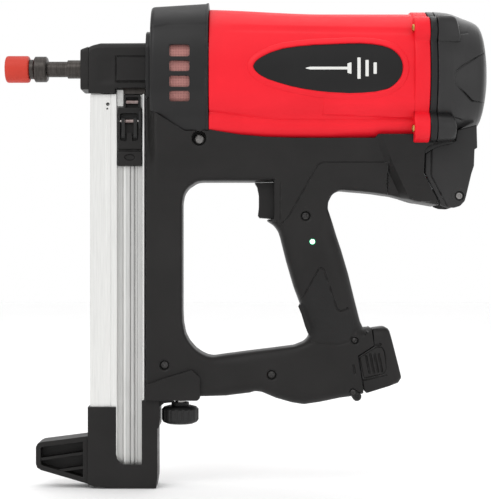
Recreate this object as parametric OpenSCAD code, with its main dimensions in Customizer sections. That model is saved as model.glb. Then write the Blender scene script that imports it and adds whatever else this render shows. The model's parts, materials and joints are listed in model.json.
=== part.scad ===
// Combustion-driven concrete nail gun with a vertical strip magazine.
// Frame: the barrel runs along X with the muzzle at X = 0 facing -X,
// Z is up, Y = 0 is the clamshell split plane. Millimetres.

/* [Barrel and nose] */
// Radius of the nail bore
bore_r = 3.8; // [3.4:0.1:4.2]
// Outside radius of the red muzzle cap
cap_r = 11.2; // [10.5:0.1:12]
// Travel of the contact probe when it is pressed on the work
probe_travel = 24; // [16:1:24]
// Half width of the nose housing
nose_hw = 17.5; // [17:0.5:19]

/* [Head] */
// Half width of the red shroud
shroud_hw = 46; // [45:0.5:48]
// Height of the head axis relative to the barrel axis
head_z = -7; // [-8:0.5:-6]
// Wall of the plastic covers
wall = 2.8; // [2.4:0.1:3]

/* [Engine] */
// Bore radius of the drive cylinder
cyl_r = 19; // [18:0.5:20]
// Travel of the piston and driver
stroke = 94; // [80:1:94]
// Radius of the driver blade
driver_r = 3.1; // [2.8:0.1:3.2]

/* [Handle] */
// Half width of the grip and frame
grip_hw = 17; // [16:0.5:18]
// Travel of the trigger
trigger_travel = 7; // [5:1:7]
// Tilt of the battery axis above the horizontal, in degrees
batt_tilt = 14; // [13:0.5:15]

/* [Magazine] */
// Half width of the aluminium rail
rail_hw = 12; // [11.5:0.5:13]
// Lowest point of the rail
rail_bottom = -342; // [-342:1:-320]
// Radius of the knurled clamp knob
knob_r = 15.5; // [14:0.5:16]

/* [Hidden] */
$fn = 64;

BLACK = [0.13,0.13,0.13];
RED = [0.86,0.10,0.12];
STEEL = [0.55,0.55,0.56];
ALU = [0.82,0.82,0.80];

// ---------- helpers ----------
// section of the head: rounded above, flat chamfered skirt below
function sec(a, b, zc, m=26, top=0) = concat([for (i = [0:m]) let (t = 180*i/m, c = cos(t), s = sin(t))
    [a*sgn(c)*pow(abs(c), 2/2.45), zc + (b+top)*pow(abs(s), 2/2.45)]],
    [[-a, zc-14], [-a+1.2, zc-28], [-a+3.4, zc-36], [-a+8, zc-43.5], [-a+14, zc-b+1.6], [-a+19, zc-b],
     [a-19, zc-b], [a-14, zc-b+1.6], [a-8, zc-43.5], [a-3.4, zc-36], [a-1.2, zc-28], [a, zc-14]]);
module slab(y0, y1) { translate([0,y1,0]) rotate([90,0,0]) linear_extrude(y1-y0) children(); }
module xslab(x0, x1) { translate([x0,0,0]) rotate([90,0,90]) linear_extrude(x1-x0) children(); }
module xcyl(x0, x1, r, y=0, z=0) { translate([x0,y,z]) rotate([0,90,0]) cylinder(h=x1-x0, r=r); }
module ycyl(x, z, y0, y1, r) { translate([x,y0,z]) rotate([-90,0,0]) cylinder(h=y1-y0, r=r); }
module zcyl(x, y, z0, z1, r) { translate([x,y,z0]) cylinder(h=z1-z0, r=r); }
// turned part about an axis parallel to X: points are [x, r]
module turned(pts, y=0, z=0) { translate([0,y,z]) rotate([0,90,0]) rotate([0,0,180]) rotate_extrude() polygon([for (p = pts) [p[1], p[0]]]); }
module box(a, b) { translate(a) cube([b[0]-a[0], b[1]-a[1], b[2]-a[2]]); }

// outline brought in or out about the middle of the tool
function about(pts, k) = [for (p = pts) [200.8+(p[0]-200.8)*k, -151.2+(p[1]+151.2)*k]];

// superellipse section of the head in the YZ plane
function sgn(v) = v < 0 ? -1 : 1;
function se(a, b, zc, n=2.45, m=56) = [for (i = [0:m-1]) let (t = 360*(i+0.5)/m, c = cos(t), s = sin(t))
    [a*sgn(c)*pow(abs(c), 2/n), zc + b*sgn(s)*pow(abs(s), 2/n)]];

// helical tube along X, closed at both ends
function helix_pts(x0, x1, r, turns, seg) = [for (i = [0:turns*seg]) let (t = i/(turns*seg))
    [x0 + (x1-x0)*t, r*cos(360*i/seg), r*sin(360*i/seg)]];
module helix(x0, x1, r, wire, turns, seg=14, sides=6) {
    n = turns*seg;
    P = helix_pts(x0, x1, r, turns, seg);
    pts = [for (i = [0:n]) let (a = 360*i/seg) for (k = [0:sides-1]) let (b = 360*k/sides)
        [P[i][0] + wire*sin(b), P[i][1] + wire*cos(b)*cos(a), P[i][2] + wire*cos(b)*sin(a)]];
    faces = concat(
        [[for (k = [sides-1:-1:0]) k]],
        [for (i = [0:n-1]) for (k = [0:sides-1]) let (k2 = (k+1)%sides)
            [i*sides+k, (i+1)*sides+k2, (i+1)*sides+k]],
        [for (i = [0:n-1]) for (k = [0:sides-1]) let (k2 = (k+1)%sides)
            [i*sides+k, i*sides+k2, (i+1)*sides+k2]],
        [[for (k = [0:sides-1]) n*sides+k]]);
    polyhedron(pts, faces);
}

// ---------- probe group: slides along X ----------
module muzzle_cap() color(RED) difference() {
    turned([[0,0],[0,9.6],[0.6,10.7],[1.8,cap_r],[17.9,cap_r],[19.1,10.8],[19.7,9.8],[19.7,0]]);
    xcyl(-1, 4, bore_r);
    xcyl(3.1, 21, 7.03);
}
module contact_probe() color([0.2,0.19,0.18]) difference() {
    turned([[3.1,0],[3.1,7],[19.8,7],[19.8,8.2],[23.2,8.2],[24.6,10.7],[33.6,10.7],[34.9,9.4],[34.9,6.5],
            [51.7,6.5],[51.7,7.7],[74.6,7.7],[74.6,0]]);
    xcyl(2, 43, bore_r);
    xcyl(42, 76, 5.48);
    box([63.6,-8.5,-9],[76,8.5,-1.7]);
}
module probe_linkage() color(STEEL) union() {
    difference() {
        box([71.2,-13,-1.5],[74.4,13,9.5]);
        xcyl(60, 76, 7.72);
    }
    for (s = [-1,1]) box([74.3, min(s*10,s*13), 0], [128.4, max(s*10,s*13), 6]);
    difference() {
        box([128.2,-34,-7],[131.2,34,9]);
        xcyl(120, 140, 10.5);
    }
    for (s = [-1,1]) xcyl(131.1, 250, 2.2, s*31, 0);
    difference() {
        xcyl(196, 200, 34);
        xcyl(195, 201, 24.6);
    }
}
module combustion_sleeve() color(ALU) difference() {
    xcyl(250, 327, 36);
    xcyl(249, 260, 28.2);
    xcyl(253, 328, 33.4);
    xcyl(271, 320, 34.4);
}
module sleeve_spring() color(STEEL) helix(201, 277.5, 26.4, 0.9, 9);
// ---------- nose ----------
module nose_plate() color(BLACK) difference() {
    slab(-16.5, 16.5) polygon([[61.8,-15.2],[63.4,-16.8],[68.3,-16.8],[68.3,18.4],[61.8,16.2]]);
    xcyl(60, 70, 8.2);
}
module nose_housing() color(BLACK) difference() {
    union() {
        slab(-nose_hw, nose_hw) polygon([[68.5,-19.4],[69.7,-20.6],[91.5,-20.6],[91.5,-17],[118.5,-17],[118.5,22.3],
            [84,22.3],[78.5,21.6],[68.5,18.6]]);
        for (s = [-1,1]) box([93, min(s*17,s*19.6), -11],[119, max(s*17,s*19.6), 10]);
        xslab(118, 123) polygon([[-22,-26],[-27,-20],[-29,10],[-22,28],[-12,32.3],[12,32.3],[22,28],[29,10],[27,-20],[22,-26]]);
    }
    xcyl(60, 75, 8.2);
    box([71,-15,-14],[124,15,19]);
    box([72,-9.2,-30],[117.6,9.2,-10]);
    box([70.4,-11.8,-30],[82.5,11.8,-8]);
    box([88,-11.8,-30],[117.4,11.8,-20]);
    ycyl(75.5, -14.5, -14.9, 14.9, 1.82);
}
module nail_guide() color(STEEL) difference() {
    union() {
        xcyl(70, 128, 5.4);
        for (s = [-1,1]) box([96.6, min(s*4.1,s*8.2), -21.4],[117, max(s*4.1,s*8.2), -2]);
    }
    xcyl(69, 118, bore_r);
    xcyl(117, 130, driver_r+0.1);
    box([76,-4.1,-22],[117,4.1,0]);
}
module nose_frame() color(ALU) difference() {
    union() {
        xcyl(118.2, 156.2, 9);
        xcyl(156, 160, 38);
    }
    xcyl(117, 128.05, 5.43);
    xcyl(128, 161, driver_r+0.1);
    for (s = [-1,1]) xcyl(155, 161, 2.6, s*31, 0);
}

// ---------- front cover with intake windows ----------
module cover_section(g) { polygon(sec(shroud_hw-g, 54-g, head_z+1, top=5.4)); }
module front_outline(g) { polygon([[123.2+g,48.2-g],[125.4+g,50.8-g],[170.4,53.2-g],[170.4,-54],[151.5,-54],[123.2+g,-36.6]]); }
module front_cover() color(BLACK) difference() {
    intersection() {
        slab(-60, 60) front_outline(0);
        xslab(123, 170.4) cover_section(0);
    }
    intersection() {
        slab(-60, 60) polygon([[126.2,47],[171,50],[171,-60],[151.7,-60],[126.2,-33]]);
        xslab(126.2, 171) cover_section(3);
    }
    box([122,-16,-17.2],[128,16,20]);
    for (w = [[4.4,14.6],[-7.4,1.6],[-20.2,-10.8],[-31.6,-23]])
        box([139,-60,w[0]],[155.8,60,w[1]]);
    for (s = [-1,1]) ycyl(162, -57.5, -60, 60, 7.2);
}
module filter_screens() color([0.75,0.45,0.42]) for (s = [-1,1]) intersection() {
    difference() {
        xslab(136, 158.8) cover_section(3.2);
        xslab(135, 160) cover_section(4.6);
    }
    box([136, min(s*30, s*50), -34],[158.8, max(s*30, s*50), 17]);
}

// ---------- engine ----------
module drive_cylinder() color(ALU) difference() {
    union() {
        xcyl(160.1, 286, 22.5);
        xcyl(160.1, 164, 27);
        xcyl(278.5, 286, 32.6);
    }
    xcyl(159, 287, cyl_r);
    for (a = [45:90:315]) rotate([a,0,0]) box([182,15,-4],[190,25,4]);
    difference() { xcyl(280.8, 284, 34); xcyl(280, 285, 30.8); }
}
module bumper() color([0.1,0.1,0.1]) difference() {
    turned([[164.2,0],[164.2,18.8],[172,18.8],[175.8,14],[175.8,0]]);
    xcyl(160, 180, 4.4);
}
module piston() color(ALU) difference() {
    turned([[270,0],[270,18.7],[284,18.7],[284,14],[279,12],[279,0]]);
    xcyl(269, 277, driver_r+0.02);
    for (x = [272.4,277.6]) difference() { xcyl(x, x+2.2, 20); xcyl(x-1, x+4, 17.2); }
}
module piston_rings() color(STEEL) for (x = [272.5,277.7]) difference() {
    xcyl(x, x+2, 18.95);
    xcyl(x-1, x+4, 17.25);
}
module driver_blade() color(STEEL) turned([[118.6,0],[118.6,2.6],[119.2,driver_r],[277,driver_r],[277,0]]);
module cylinder_seals() color([0.08,0.08,0.08]) for (x = [282.4,346]) translate([x,0,0]) rotate([0,90,0])
    rotate_extrude() translate([32,0]) circle(r=1.2, $fn=24);
module cylinder_head() color(ALU) difference() {
    union() {
        xcyl(340, 352, 32.6);
        difference() { xcyl(350.1, 355.4, 40); xcyl(350, 351.9, 36.8); }
        box([350.1,-6,-48],[355.4,6,-37.6]);
    }
    difference() { xcyl(344.4, 347.6, 34); xcyl(344, 348, 30.8); }
    xcyl(339, 356, 3.2);
    xcyl(344, 356, 14.2);
    xcyl(339, 356, 4.55, 0, 26);
    xcyl(339, 356, 1.6, 0, -28);
    xcyl(349, 356, 2.05, 0, -44.5);
}
module spark_plug() color([0.85,0.85,0.83]) {
    turned([[336,0],[336,1],[340,1],[340,4.5],[356.4,4.5],[356.4,6.4],[361,6.4],[361,4],[374,3.4],[376,2.2],[376,0]], 0, 26);
}
module fan_motor() color(STEEL) difference() {
    union() { turned([[344.2,0],[344.2,13.2],[345.2,14.1],[378,14.1],[380,12.4],[380,5],[383,5],[383,0]]); }
    xcyl(343, 352, 1.8);
}
module fan_impeller() color([0.7,0.7,0.72]) {
    xcyl(321, 351.6, 1.6);
    difference() {
        turned([[322,0],[322,4],[324,5.6],[334,5.6],[334,0]]);
        xcyl(320, 336, 1.5);
    }
    for (a = [0:60:300]) rotate([a,0,0]) translate([328,0,13]) rotate([0,0,32]) cube([11,1.3,17.6], center=true);
}

// ---------- rear ----------
module flange2d(a, b) { polygon(se(a, b, head_z, 2.2)); for (s = [-1,1]) { translate([s*36,26]) circle(r=12.2); translate([s*36,-52]) circle(r=12.2); } }
module head_ring() color(BLACK) difference() {
    xslab(350.2, 355.8) flange2d(49.5, 54.5);
    xcyl(350, 356, 40.4);
    box([350,-6.5,-49],[356,6.5,-36]);
    for (s = [-1,1]) { xcyl(350, 356.4, 2.4, s*37, 27); xcyl(350, 356.4, 2.4, s*37, -52); }
}
module rear_cap() color(BLACK) difference() {
    union() {
        turned([[356,0],[356,53.6],[367,53.2],[381,49.5],[388.5,46],[394.5,42.6],[397.4,38.5],[400,27],[401.8,14],[402.4,0]], 0, head_z);
        for (s = [-1,1]) {
            turned([[356,0],[356,12.2],[370,11.8],[375,9.6],[375,0]], s*36, 26);
            turned([[356,0],[356,12.2],[366,11.8],[371,9.6],[371,0]], s*36, -52);
        }
    }
    difference() {
        turned([[355,0],[355,50.4],[367,50.2],[380.4,46.6],[388,43],[393.4,39.6],[396.2,26],[398.6,14],[399.4,0]], 0, head_z);
        for (s = [-1,1]) { xcyl(355, 390, 7.5, s*37, 27); xcyl(355, 390, 7.5, s*37, -52); }
    }
    for (s = [-1,1]) {
        xcyl(355, 380, 2.4, s*37, 27); xcyl(370, 392, 4.6, s*37, 27);
        xcyl(355, 380, 2.4, s*37, -52); xcyl(366, 392, 4.6, s*37, -52);
    }
}
module rear_cap_screws() color(STEEL) for (s = [-1,1]) for (p = [[27,370],[-52,366]]) difference() {
    union() { xcyl(338.6, p[1]+0.4, 2.2, s*37, p[0]); xcyl(p[1]+0.1, p[1]+4, 4.2, s*37, p[0]); }
    translate([p[1]+2, s*37, p[0]]) rotate([0,90,0]) cylinder(h=4, r=2.2, $fn=6);
}
module shroud() color(RED) difference() {
    union() {
        xslab(170.6, 337.4) polygon(sec(shroud_hw, 52, head_z));
        xslab(337.2, 350) flange2d(49, 54);
    }
    xslab(170, 338) polygon(sec(shroud_hw-3, 49, head_z));
    xcyl(337, 351, 38.4);
    box([336,-6.5,-49],[351,6.5,-36]);
    box([182,-18,-70],[330,18,-50]);
    for (s = [-1,1]) { xcyl(335, 351, 3.25, s*37, 27); xcyl(335, 351, 3.25, s*37, -52); }
    for (s = [-1,1]) intersection() {
        slab(min(s*30,s*60), max(s*30,s*60)) badge2d(0.25);
        difference() { xslab(200, 336) polygon(sec(shroud_hw+1, 53, head_z)); xslab(199, 337) polygon(sec(shroud_hw-1.2, 50.8, head_z)); }
    }
}
module shroud_inserts() color([0.78,0.62,0.3]) for (s = [-1,1]) for (z = [27,-52]) difference() {
    xcyl(335.8, 349.4, 3.2, s*37, z);
    xcyl(335, 351, 2.3, s*37, z);
}
// teardrop badge outline, its pointed end to the front
badge_pts = [[206.4,-3.2],[208.4,0.6],[213,4.2],[221,8.2],[231,11.4],[243,13.2],[256,14.4],[270,15],[284,15.6],[294,15.7],[304,15],[312,13.6],
    [319,11.2],[324,6.9],[327.2,1.9],[328.3,-4.5],[327,-11.5],[323,-17.2],[316.5,-21.8],[306,-24.5],[295,-25.6],[284,-25.9],[268,-25],[258,-23.8],
    [248,-22],[237,-19.8],[227.6,-17.2],[219,-14.3],[212.5,-11],[208.2,-7.2]];
module badge2d(g) { offset(delta=g) polygon(badge_pts); }
module badges() color(BLACK) for (s = [-1,1]) intersection() {
    slab(min(s*30,s*60), max(s*30,s*60)) badge2d(0);
    difference() { xslab(200, 336) polygon(sec(shroud_hw+0.3, 52.3, head_z)); xslab(199, 337) polygon(sec(shroud_hw-1.1, 50.9, head_z)); }
}

// ---------- clamshell housing ----------
// outer silhouette of the lower housing, loop removed separately
head_lower = [[118.4,-26],[123.1,-26],[123.1,-37.2],[151.4,-54.4],[170.5,-54.4],[171,-56],[200,-58.4],[232,-59.4],[337.4,-59],[337.4,-56],[357,-56],
    [357,-65.2],[353,-67.9],[349.5,-70.6],[349.5,-90.2],[358.4,-111.2],[358.4,-114.2],[351.6,-112.8],[342,-111.6],[332,-109.2],[322,-106.6],[307.7,-104.4],
    [297.8,-103.4],[288,-102.6],[279,-101.4],[275,-103],[272,-107],[270,-117],[228,-117],[228,-95.8],[161,-95.8],[153.4,-98.4],[118.4,-98.4]];
frame_out = about([[117,-90],[272,-90],[272,-104.8],[270,-110],[270,-117],[275.1,-131.5],[281.8,-151.6],[287.7,-171.8],[292.7,-192],[297.8,-212.1],
    [299.6,-218.4],[296.2,-223],[297.6,-242],[300.9,-272.8],[290.2,-275.2],[280.1,-276.6],[263.8,-280],[250,-282],[239.8,-280.4],[226.4,-276.6],
    [214.6,-271.6],[209,-270.8],[204.5,-272.2],[184.4,-274.6],[171,-274.8],[117,-274.8]], 0.987);
loop_in = about([[148.7,-113],[150,-105.5],[153.4,-100.3],[160.9,-95.4],[166,-94.9],[209,-94.9],[224.3,-94.9],[224.3,-126],[217.4,-126.6],[224.6,-131.3],
    [228.2,-136.6],[229.8,-142],[234.8,-161.7],[240.7,-181.9],[248.2,-202],[253.6,-218],[253.4,-223],[250,-227.6],[241.5,-231],[225.5,-233.1],
    [204.5,-235.6],[184.4,-238.2],[174.3,-239.8],[169.3,-239],[164.2,-236.6],[159.2,-233],[154.2,-227.2],[151,-221],[149.2,-212],[148.7,-202]], 1.008);
module battery_axis() { translate([325,0,-239.4]) rotate([0,-batt_tilt,0]) children(); }
// solid half from the split plane out to y = hw, less the loop
module housing_solid(g) {
    slab(0, grip_hw-g) difference() {
        offset(delta=-g) union() { polygon(frame_out); polygon(head_lower); }
        offset(delta=g) polygon(loop_in);
    }
    // wider under the head and round the gas bay
    slab(0, 26-g) offset(delta=-g) intersection() { polygon(head_lower); union() { translate([123.1,-89]) square([260,60]); polygon([[304,-50],[400,-50],[400,-120],[340,-120]]); } }
    slab(0, 33-g) offset(delta=-g) intersection() { polygon(head_lower); translate([123.3,-80]) square([260,60]); }
}
// housing screws: [x, z, depth of the head seat]
screw_at = [[162.6,-60.2,22],[250.6,-123.4,13],[133.6,-247,13],[222.4,-255,13],[291.4,-226.6,13],[290,-269.4,13]];
module housing_half() {
    difference() {
        union() {
            difference() { housing_solid(0); translate([0,-1,0]) housing_solid(wall); }
            for (p = screw_at) intersection() { ycyl(p[0], p[1], 0, p[2]+3.6, 5.4); housing_solid(0); }
        }
        // shroud, front cover, flange and ring seats
        xslab(170.5, 343.1) polygon(sec(shroud_hw+0.05, 52.05, head_z));
        xslab(110, 170.6) cover_section(-0.05);
        xslab(337, 358) flange2d(49.6, 54.6);
        // trigger pocket mouth
        box([212,-1,-126.2],[245.6,8.9,-94.2]);
        box([245,-1,-114.4],[258.4,6.4,-94]);
        box([222,-1,-97],[250,8.9,-60]);
        // gas line
        zcyl(273.4, 0, -80, -40, 2.3);
        // gas can bore
        gas_axis() translate([0,0,-30]) cylinder(h=127, r=14.6);
        // clamp boss of the magazine bracket
        zcyl(146, 0, -280, -250, 7.1);
        // door cheeks run outside this line
        difference() { box([349.7,-1,-120],[400,40,-50]); slab(-2, 41) polygon([[340,-50],[357.4,-50],[357.4,-65],[353.2,-67.7],[349.5,-70.4],[340,-72]]); slab(-2,41) polygon([[340,-90],[349.9,-90],[359,-111.2],[359,-116],[340,-116]]); }
        // battery bay mouth
        battery_axis() box([-81,-1,-17.6],[10,12.6,17.6]);
        for (p = screw_at) ycyl(p[0], p[1], -1, 40, 1.7);
    }
    // ears that carry the gas door's hinge pin
    difference() {
        union() {
            slab(15.2, 22.2) polygon([[345,-106],[364,-104.4],[375.6,-104.1],[379.2,-107.7],[375.6,-111.3],[366,-112.4],[358.6,-113.4],[345,-110.6]]);
            ycyl(375.6, -107.7, 15.2, 22.2, 3.6);
        }
        ycyl(375.6, -107.7, -1, 40, 1.62);
    }
}
module housing_left() color(BLACK) mirror([0,1,0]) difference() {
    housing_half();
    for (p = screw_at) ycyl(p[0], p[1], p[2], 40, p[2] > 20 ? 5 : 3.7);
    ycyl(256.2, -144.7, 10, 30, 1.9);
    slab(15.4, 20) pad2d(0.15);
}
module housing_right() color(BLACK) difference() {
    housing_half();
    slab(15.4, 20) pad2d(0.15);
}
module housing_screws() color(STEEL) for (p = screw_at) difference() {
    union() {
        ycyl(p[0], p[1], -p[2]-0.1, 9, 1.6);
        ycyl(p[0], p[1], -p[2]-2.4, -p[2], 3.5);
    }
    translate([p[0], -p[2]-3, p[1]]) rotate([-90,0,0]) cylinder(h=2.2, r=1.6, $fn=6);
}
pad_pts = [[263,-165],[266,-165],[268,-171],[276.5,-202],[285,-199],[290,-197],[293.5,-214],[292,-218.6],[262,-222],[257.4,-218],[250,-197]];
module pad2d(g) { offset(delta=g) polygon(pad_pts); }
module grip_pad_left() color([0.1,0.1,0.1]) slab(-17.6, -15.5) pad2d(0);
module grip_pad_right() color([0.1,0.1,0.1]) slab(15.5, 17.6) pad2d(0);

// ---------- trigger ----------
module trigger() color([0.16,0.16,0.16]) difference() {
    slab(-8.5, 8.5) polygon([[208.6,-95.6],[210.6,-99],[212,-106],[212,-116],[211.2,-123],[212.6,-124.8],[222,-125.5],[238,-125.5],[238,-95.6]]);
    xcyl(234, 240, 3.6, 0, -102);
}
module trigger_spring() color(STEEL) translate([0,0,-102]) helix(234.8, 248.6, 2.6, 0.4, 6, 10, 6);
module trigger_switch() color([0.25,0.25,0.27]) {
    box([249.4,-6,-114],[258,6,-96.4]);
    box([246.4,-2,-111.5],[249.5,2,-107.5]);
}

// ---------- electronics ----------
module status_led() color([0.6,1,0.8]) {
    ycyl(256.2, -144.7, -17.3, -12.2, 1.8);
    ycyl(256.2, -144.7, -12.9, -12.1, 2.6);
}
module control_board() color([0.1,0.35,0.2]) {
    box([250,-12,-160],[262,-10.4,-138]);
    box([252,-10.5,-157],[259,-5,-149]);
    box([251.5,-10.5,-146.5],[256,-7,-141]);
}

// ---------- gas supply ----------
module gas_axis() { translate([377.4,0,-88.8]) rotate([0,-84.1,0]) children(); }
module gas_can() color(ALU) gas_axis() {
    rotate_extrude() polygon([[0,0],[12.6,0],[14,1.4],[14,84],[13.2,87],[10,91],[5,93],[5,95],[2.2,95],[2.2,98.4],[0,98.4]]);
}
module metering_valve() color([0.2,0.2,0.22]) gas_axis() difference() {
    union() {
        translate([0,0,98.6]) cylinder(h=9, r=9);
        translate([-9,-7,99]) cube([18,14,12]);
    }
    translate([0,0,98]) cylinder(h=4, r=3);
}
module gas_tube() color([0.7,0.55,0.3]) union() {
    zcyl(273.4, 0, -66, -44.5, 2);
    xcyl(273.4, 355, 2, 0, -44.5);
    translate([273.4,0,-44.5]) sphere(r=2);
}
door2d = [[350.2,-71.4],[350.2,-90.1],[359.2,-111.4],[361.2,-114.6],[366,-116],[372,-116.4],[377.6,-114],[381,-109.6],[382.6,-104],[384.6,-96],[386.8,-86],
    [388.2,-78],[388.8,-68.4],[391.2,-67],[390.8,-48.4],[374.2,-53],[373,-61.8],[368,-63.2],[360,-65],[355.2,-67.2]];
module gas_door() color(BLACK) difference() {
    slab(-25.5, 25.5) polygon(door2d);
    // the wings follow the round of the rear cap
    turned([[354,0],[354,54.4],[367,54],[381,50.3],[388.5,46.8],[394.5,43.4],[395,0]], 0, head_z);
    // inside, open to the front and below between the cheeks
    slab(-22.5, 22.5) polygon([[345,-74],[356,-69.6],[366,-67],[384.6,-66.4],[384.2,-76],[382.4,-86],[380.6,-96],[379.7,-103],[379.6,-125],[345,-125]]);
    ycyl(375.6, -107.7, -30, 30, 1.67);
    for (s = [-1,1]) ycyl(375.6, -107.7, s < 0 ? -30 : 23.6, s < 0 ? -23.6 : 30, 5.2);
}
module gas_door_pin() color(STEEL) difference() {
    union() {
        ycyl(375.6, -107.7, -24.4, 24.4, 1.6);
        for (s = [-1,1]) ycyl(375.6, -107.7, s < 0 ? -25.3 : 23.7, s < 0 ? -23.7 : 25.3, 3);
    }
    translate([375.6, -26, -107.7]) rotate([-90,0,0]) cylinder(h=1.7, r=1.5, $fn=6);
}

// ---------- battery ----------
module battery_pack() color(BLACK) difference() {
    union() {
        battery_axis() box([-80,-12,-17],[-20,12,17]);
        slab(-17.5, 17.5) polygon(about([[301.5,-219.8],[320.6,-216.4],[322.4,-217.6],[332.2,-261.4],[330.6,-264],[302.2,-272.4],[298.3,-242],[297,-224]], 0.987));
    }
    slab(-19, -13.9) latch2d(0.3);
}
latch_pts = about([[299.8,-241.4],[312,-233.6],[320.4,-237.6],[321.4,-255.4],[302,-260.4]], 0.987);
module latch2d(g) { offset(delta=g) polygon(latch_pts); }
module battery_latch() color([0.15,0.15,0.15]) {
    slab(-17.9, -15.8) latch2d(0);
    for (i = [0:3]) slab(-18.7, -17.8) polygon(about([[303.5+4*i,-242],[305.1+4*i,-242],[306.5+4*i,-254],[304.9+4*i,-254]], 0.987));
}
module battery_contacts() color([0.78,0.62,0.3]) for (s = [-1,1]) battery_axis() box([-84.4, s*6-2, -3],[-80.6, s*6+2, 3]);

// ---------- magazine ----------
module magazine_rail() color(ALU) difference() {
    translate([0,0,rail_bottom]) linear_extrude(-22.2-rail_bottom) difference() {
        polygon([[71.4,-rail_hw+1.2],[72.6,-rail_hw],[84.8,-rail_hw],[85.4,-rail_hw+1],[87.4,-rail_hw+1],[88,-rail_hw],[93,-rail_hw],[93,-7.4],[115.2,-7.4],
                 [115.2,-rail_hw],[117,-rail_hw],[117,rail_hw],[72.6,rail_hw],[71.4,rail_hw-1.2]]);
        polygon([[74,-2.4],[102,-2.4],[102,-4.1],[113.6,-4.1],[113.6,4.1],[102,4.1],[102,2.4],[74,2.4]]);
        translate([103.6,-8]) square([4,6]);
        for (s = [-1,1]) translate([74.6, s > 0 ? 4.4 : -9.9]) square([16,5.5]);
        translate([94,6]) square([20.4,3.6]);
    }
    box([70,-11.6,-36.6],[80.6,-8.2,-20]);
    box([70,8.2,-36.6],[80.6,11.6,-20]);
    ycyl(86.4, -30.4, -13, -3, 1.5);
}
module magazine_hook() color(STEEL) for (s = [-1,1]) difference() {
    slab(s < 0 ? -11.4 : 8.4, s < 0 ? -8.4 : 11.4) union() {
        polygon([[72.2,-36],[80,-36],[80,-22],[79,-14],[72,-14],[72.2,-22]]);
        translate([75.5,-14.5]) circle(r=3.4);
    }
    ycyl(75.5, -14.5, -20, 20, 1.9);
}
module magazine_pin() color(STEEL) ycyl(75.5, -14.5, -14.5, 14.5, 1.8);
module feed_block() color([0.6,0.6,0.6]) box([93.2,-11.4,-32.4],[99.4,-7.5,-22.8]);
module follower() color(BLACK) {
    difference() {
        slab(-13.2, -7.7) polygon([[93.5,-33.2],[114.7,-33.2],[114.7,-81.8],[93.5,-81.8]]);
        // lever well
        box([96.6,-14,-58],[111.4,-9.4,-37]);
        box([96,-14,-69.6],[112.4,-12.4,-67.2]);
        xcyl(94.9, 113.3, 1.01, -11.9, -44.5);
    }
    // neck and nail pusher inside the rail
    box([103.9,-7.8,-78],[107.3,0,-36]);
    box([76,-2.1,-60],[104,2.1,-36]);
    box([102.6,-3.7,-60],[113,3.7,-36]);
    // pull tab
    slab(-18, -13.1) polygon([[96,-72.6],[112.2,-72.6],[112.2,-79.6],[96,-79.6]]);
}
module follower_latch() color([0.17,0.17,0.17]) difference() {
    union() {
        slab(-15.8, -12.2) polygon([[97.4,-42],[110.6,-42],[110.6,-56.4],[107,-56.4],[107,-50.5],[101,-50.5],[101,-56.4],[97.4,-56.4]]);
        xcyl(97.4, 110.6, 2.3, -11.9, -44.5);
    }
    xcyl(90, 120, 1.05, -11.9, -44.5);
}
module latch_pin() color(STEEL) xcyl(95, 113.2, 1, -11.9, -44.5);
module spring_bracket() color([0.12,0.12,0.12]) difference() {
    box([99.7,-12.4,-33],[113.4,-7.5,-22.8]);
    box([101.4,-20,-34],[111.7,-8.4,-24.6]);
    xcyl(99, 115, 0.85, -10.4, -28.6);
}
module follower_spring() color(STEEL) {
    difference() { xcyl(101.8, 111.3, 2, -10.4, -28.6); xcyl(101, 112, 0.95, -10.4, -28.6); }
    xcyl(99.9, 113.2, 0.84, -10.4, -28.6);
}
module magazine_foot() color(BLACK) difference() {
    union() {
        slab(-15.5, 15.5) polygon([[70,-281.8],[114.6,-281.8],[114.6,-276.4],[129.4,-276.4],[129.4,-298],[127.8,-300],[127.8,-341],[126.6,-349.2],
            [85,-349.2],[71.4,-346.8],[70,-345.8]]);
        slab(-10, 10) polygon([[120,-276.4],[141,-276.4],[141,-278.4],[133,-279.3],[128.8,-282.5],[120,-288]]);
    }
    box([71.2,-12.2,-342.8],[117.2,12.2,-270]);
    zcyl(146, 0, -290, -270, 6.5);
    for (p = [[78,-294],[78,-336]]) ycyl(p[0], p[1], 0, 20, 2.62);
    // open window along the follower channel
    slab(-20, -11) polygon([[93.4,-270],[114.8,-270],[114.8,-329.6],[100.9,-329.6],[97.2,-328.4],[94.4,-325.4],[93.4,-321.4]]);
}
module support_foot() color(BLACK) {
    // profile frame, centre web and ribs
    foot = [[26.6,-315.4],[28,-312.6],[30.8,-311.2],[69.8,-306.2],[69.8,-345.8],[31.2,-334.6],[27.8,-332.6],[26.6,-329.4]];
    slab(-1.5, 1.5) polygon(foot);
    slab(-13, 13) difference() { polygon(foot); offset(delta=-4) polygon(foot); }
    slab(-11.5, 11.5) intersection() { polygon(foot); union() {
        polygon([[29,-324.8],[69.4,-319],[69.4,-321.2],[29,-327]]);
        polygon([[40,-335],[69.4,-330.8],[69.4,-333],[46,-336.4]]); } }
}
module magazine_bracket() color(BLACK) difference() {
    union() {
        difference() {
            slab(-20.4, 20.4) polygon([[118,-263.6],[135,-257.2],[156.6,-250.8],[163,-256.6],[163,-274.2],[161,-276.2],[118,-276.2]]);
            box([100,-17.1,-273.4],[180,17.1,-240]);
        }
        zcyl(146, 0, -274, -256, 7);
    }
    zcyl(146, 0, -280, -250, 4.05);
}
module knob() color([0.11,0.11,0.11]) difference() {
    union() {
        zcyl(146, 0, -284, -279.2, 7.4);
        translate([146,0,-297]) rotate_extrude() polygon([[0,0],[11,0],[14.2,1.4],[knob_r,3.4],[knob_r,12],[13.6,14],[10,15],[0,15]]);
    }
    zcyl(146, 0, -292, -276, 4);
    for (a = [0:20:340]) translate([146,0,0]) rotate([0,0,a]) translate([knob_r+1.1,0,-299]) cylinder(h=20, r=1.7, $fn=16);
}
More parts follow.
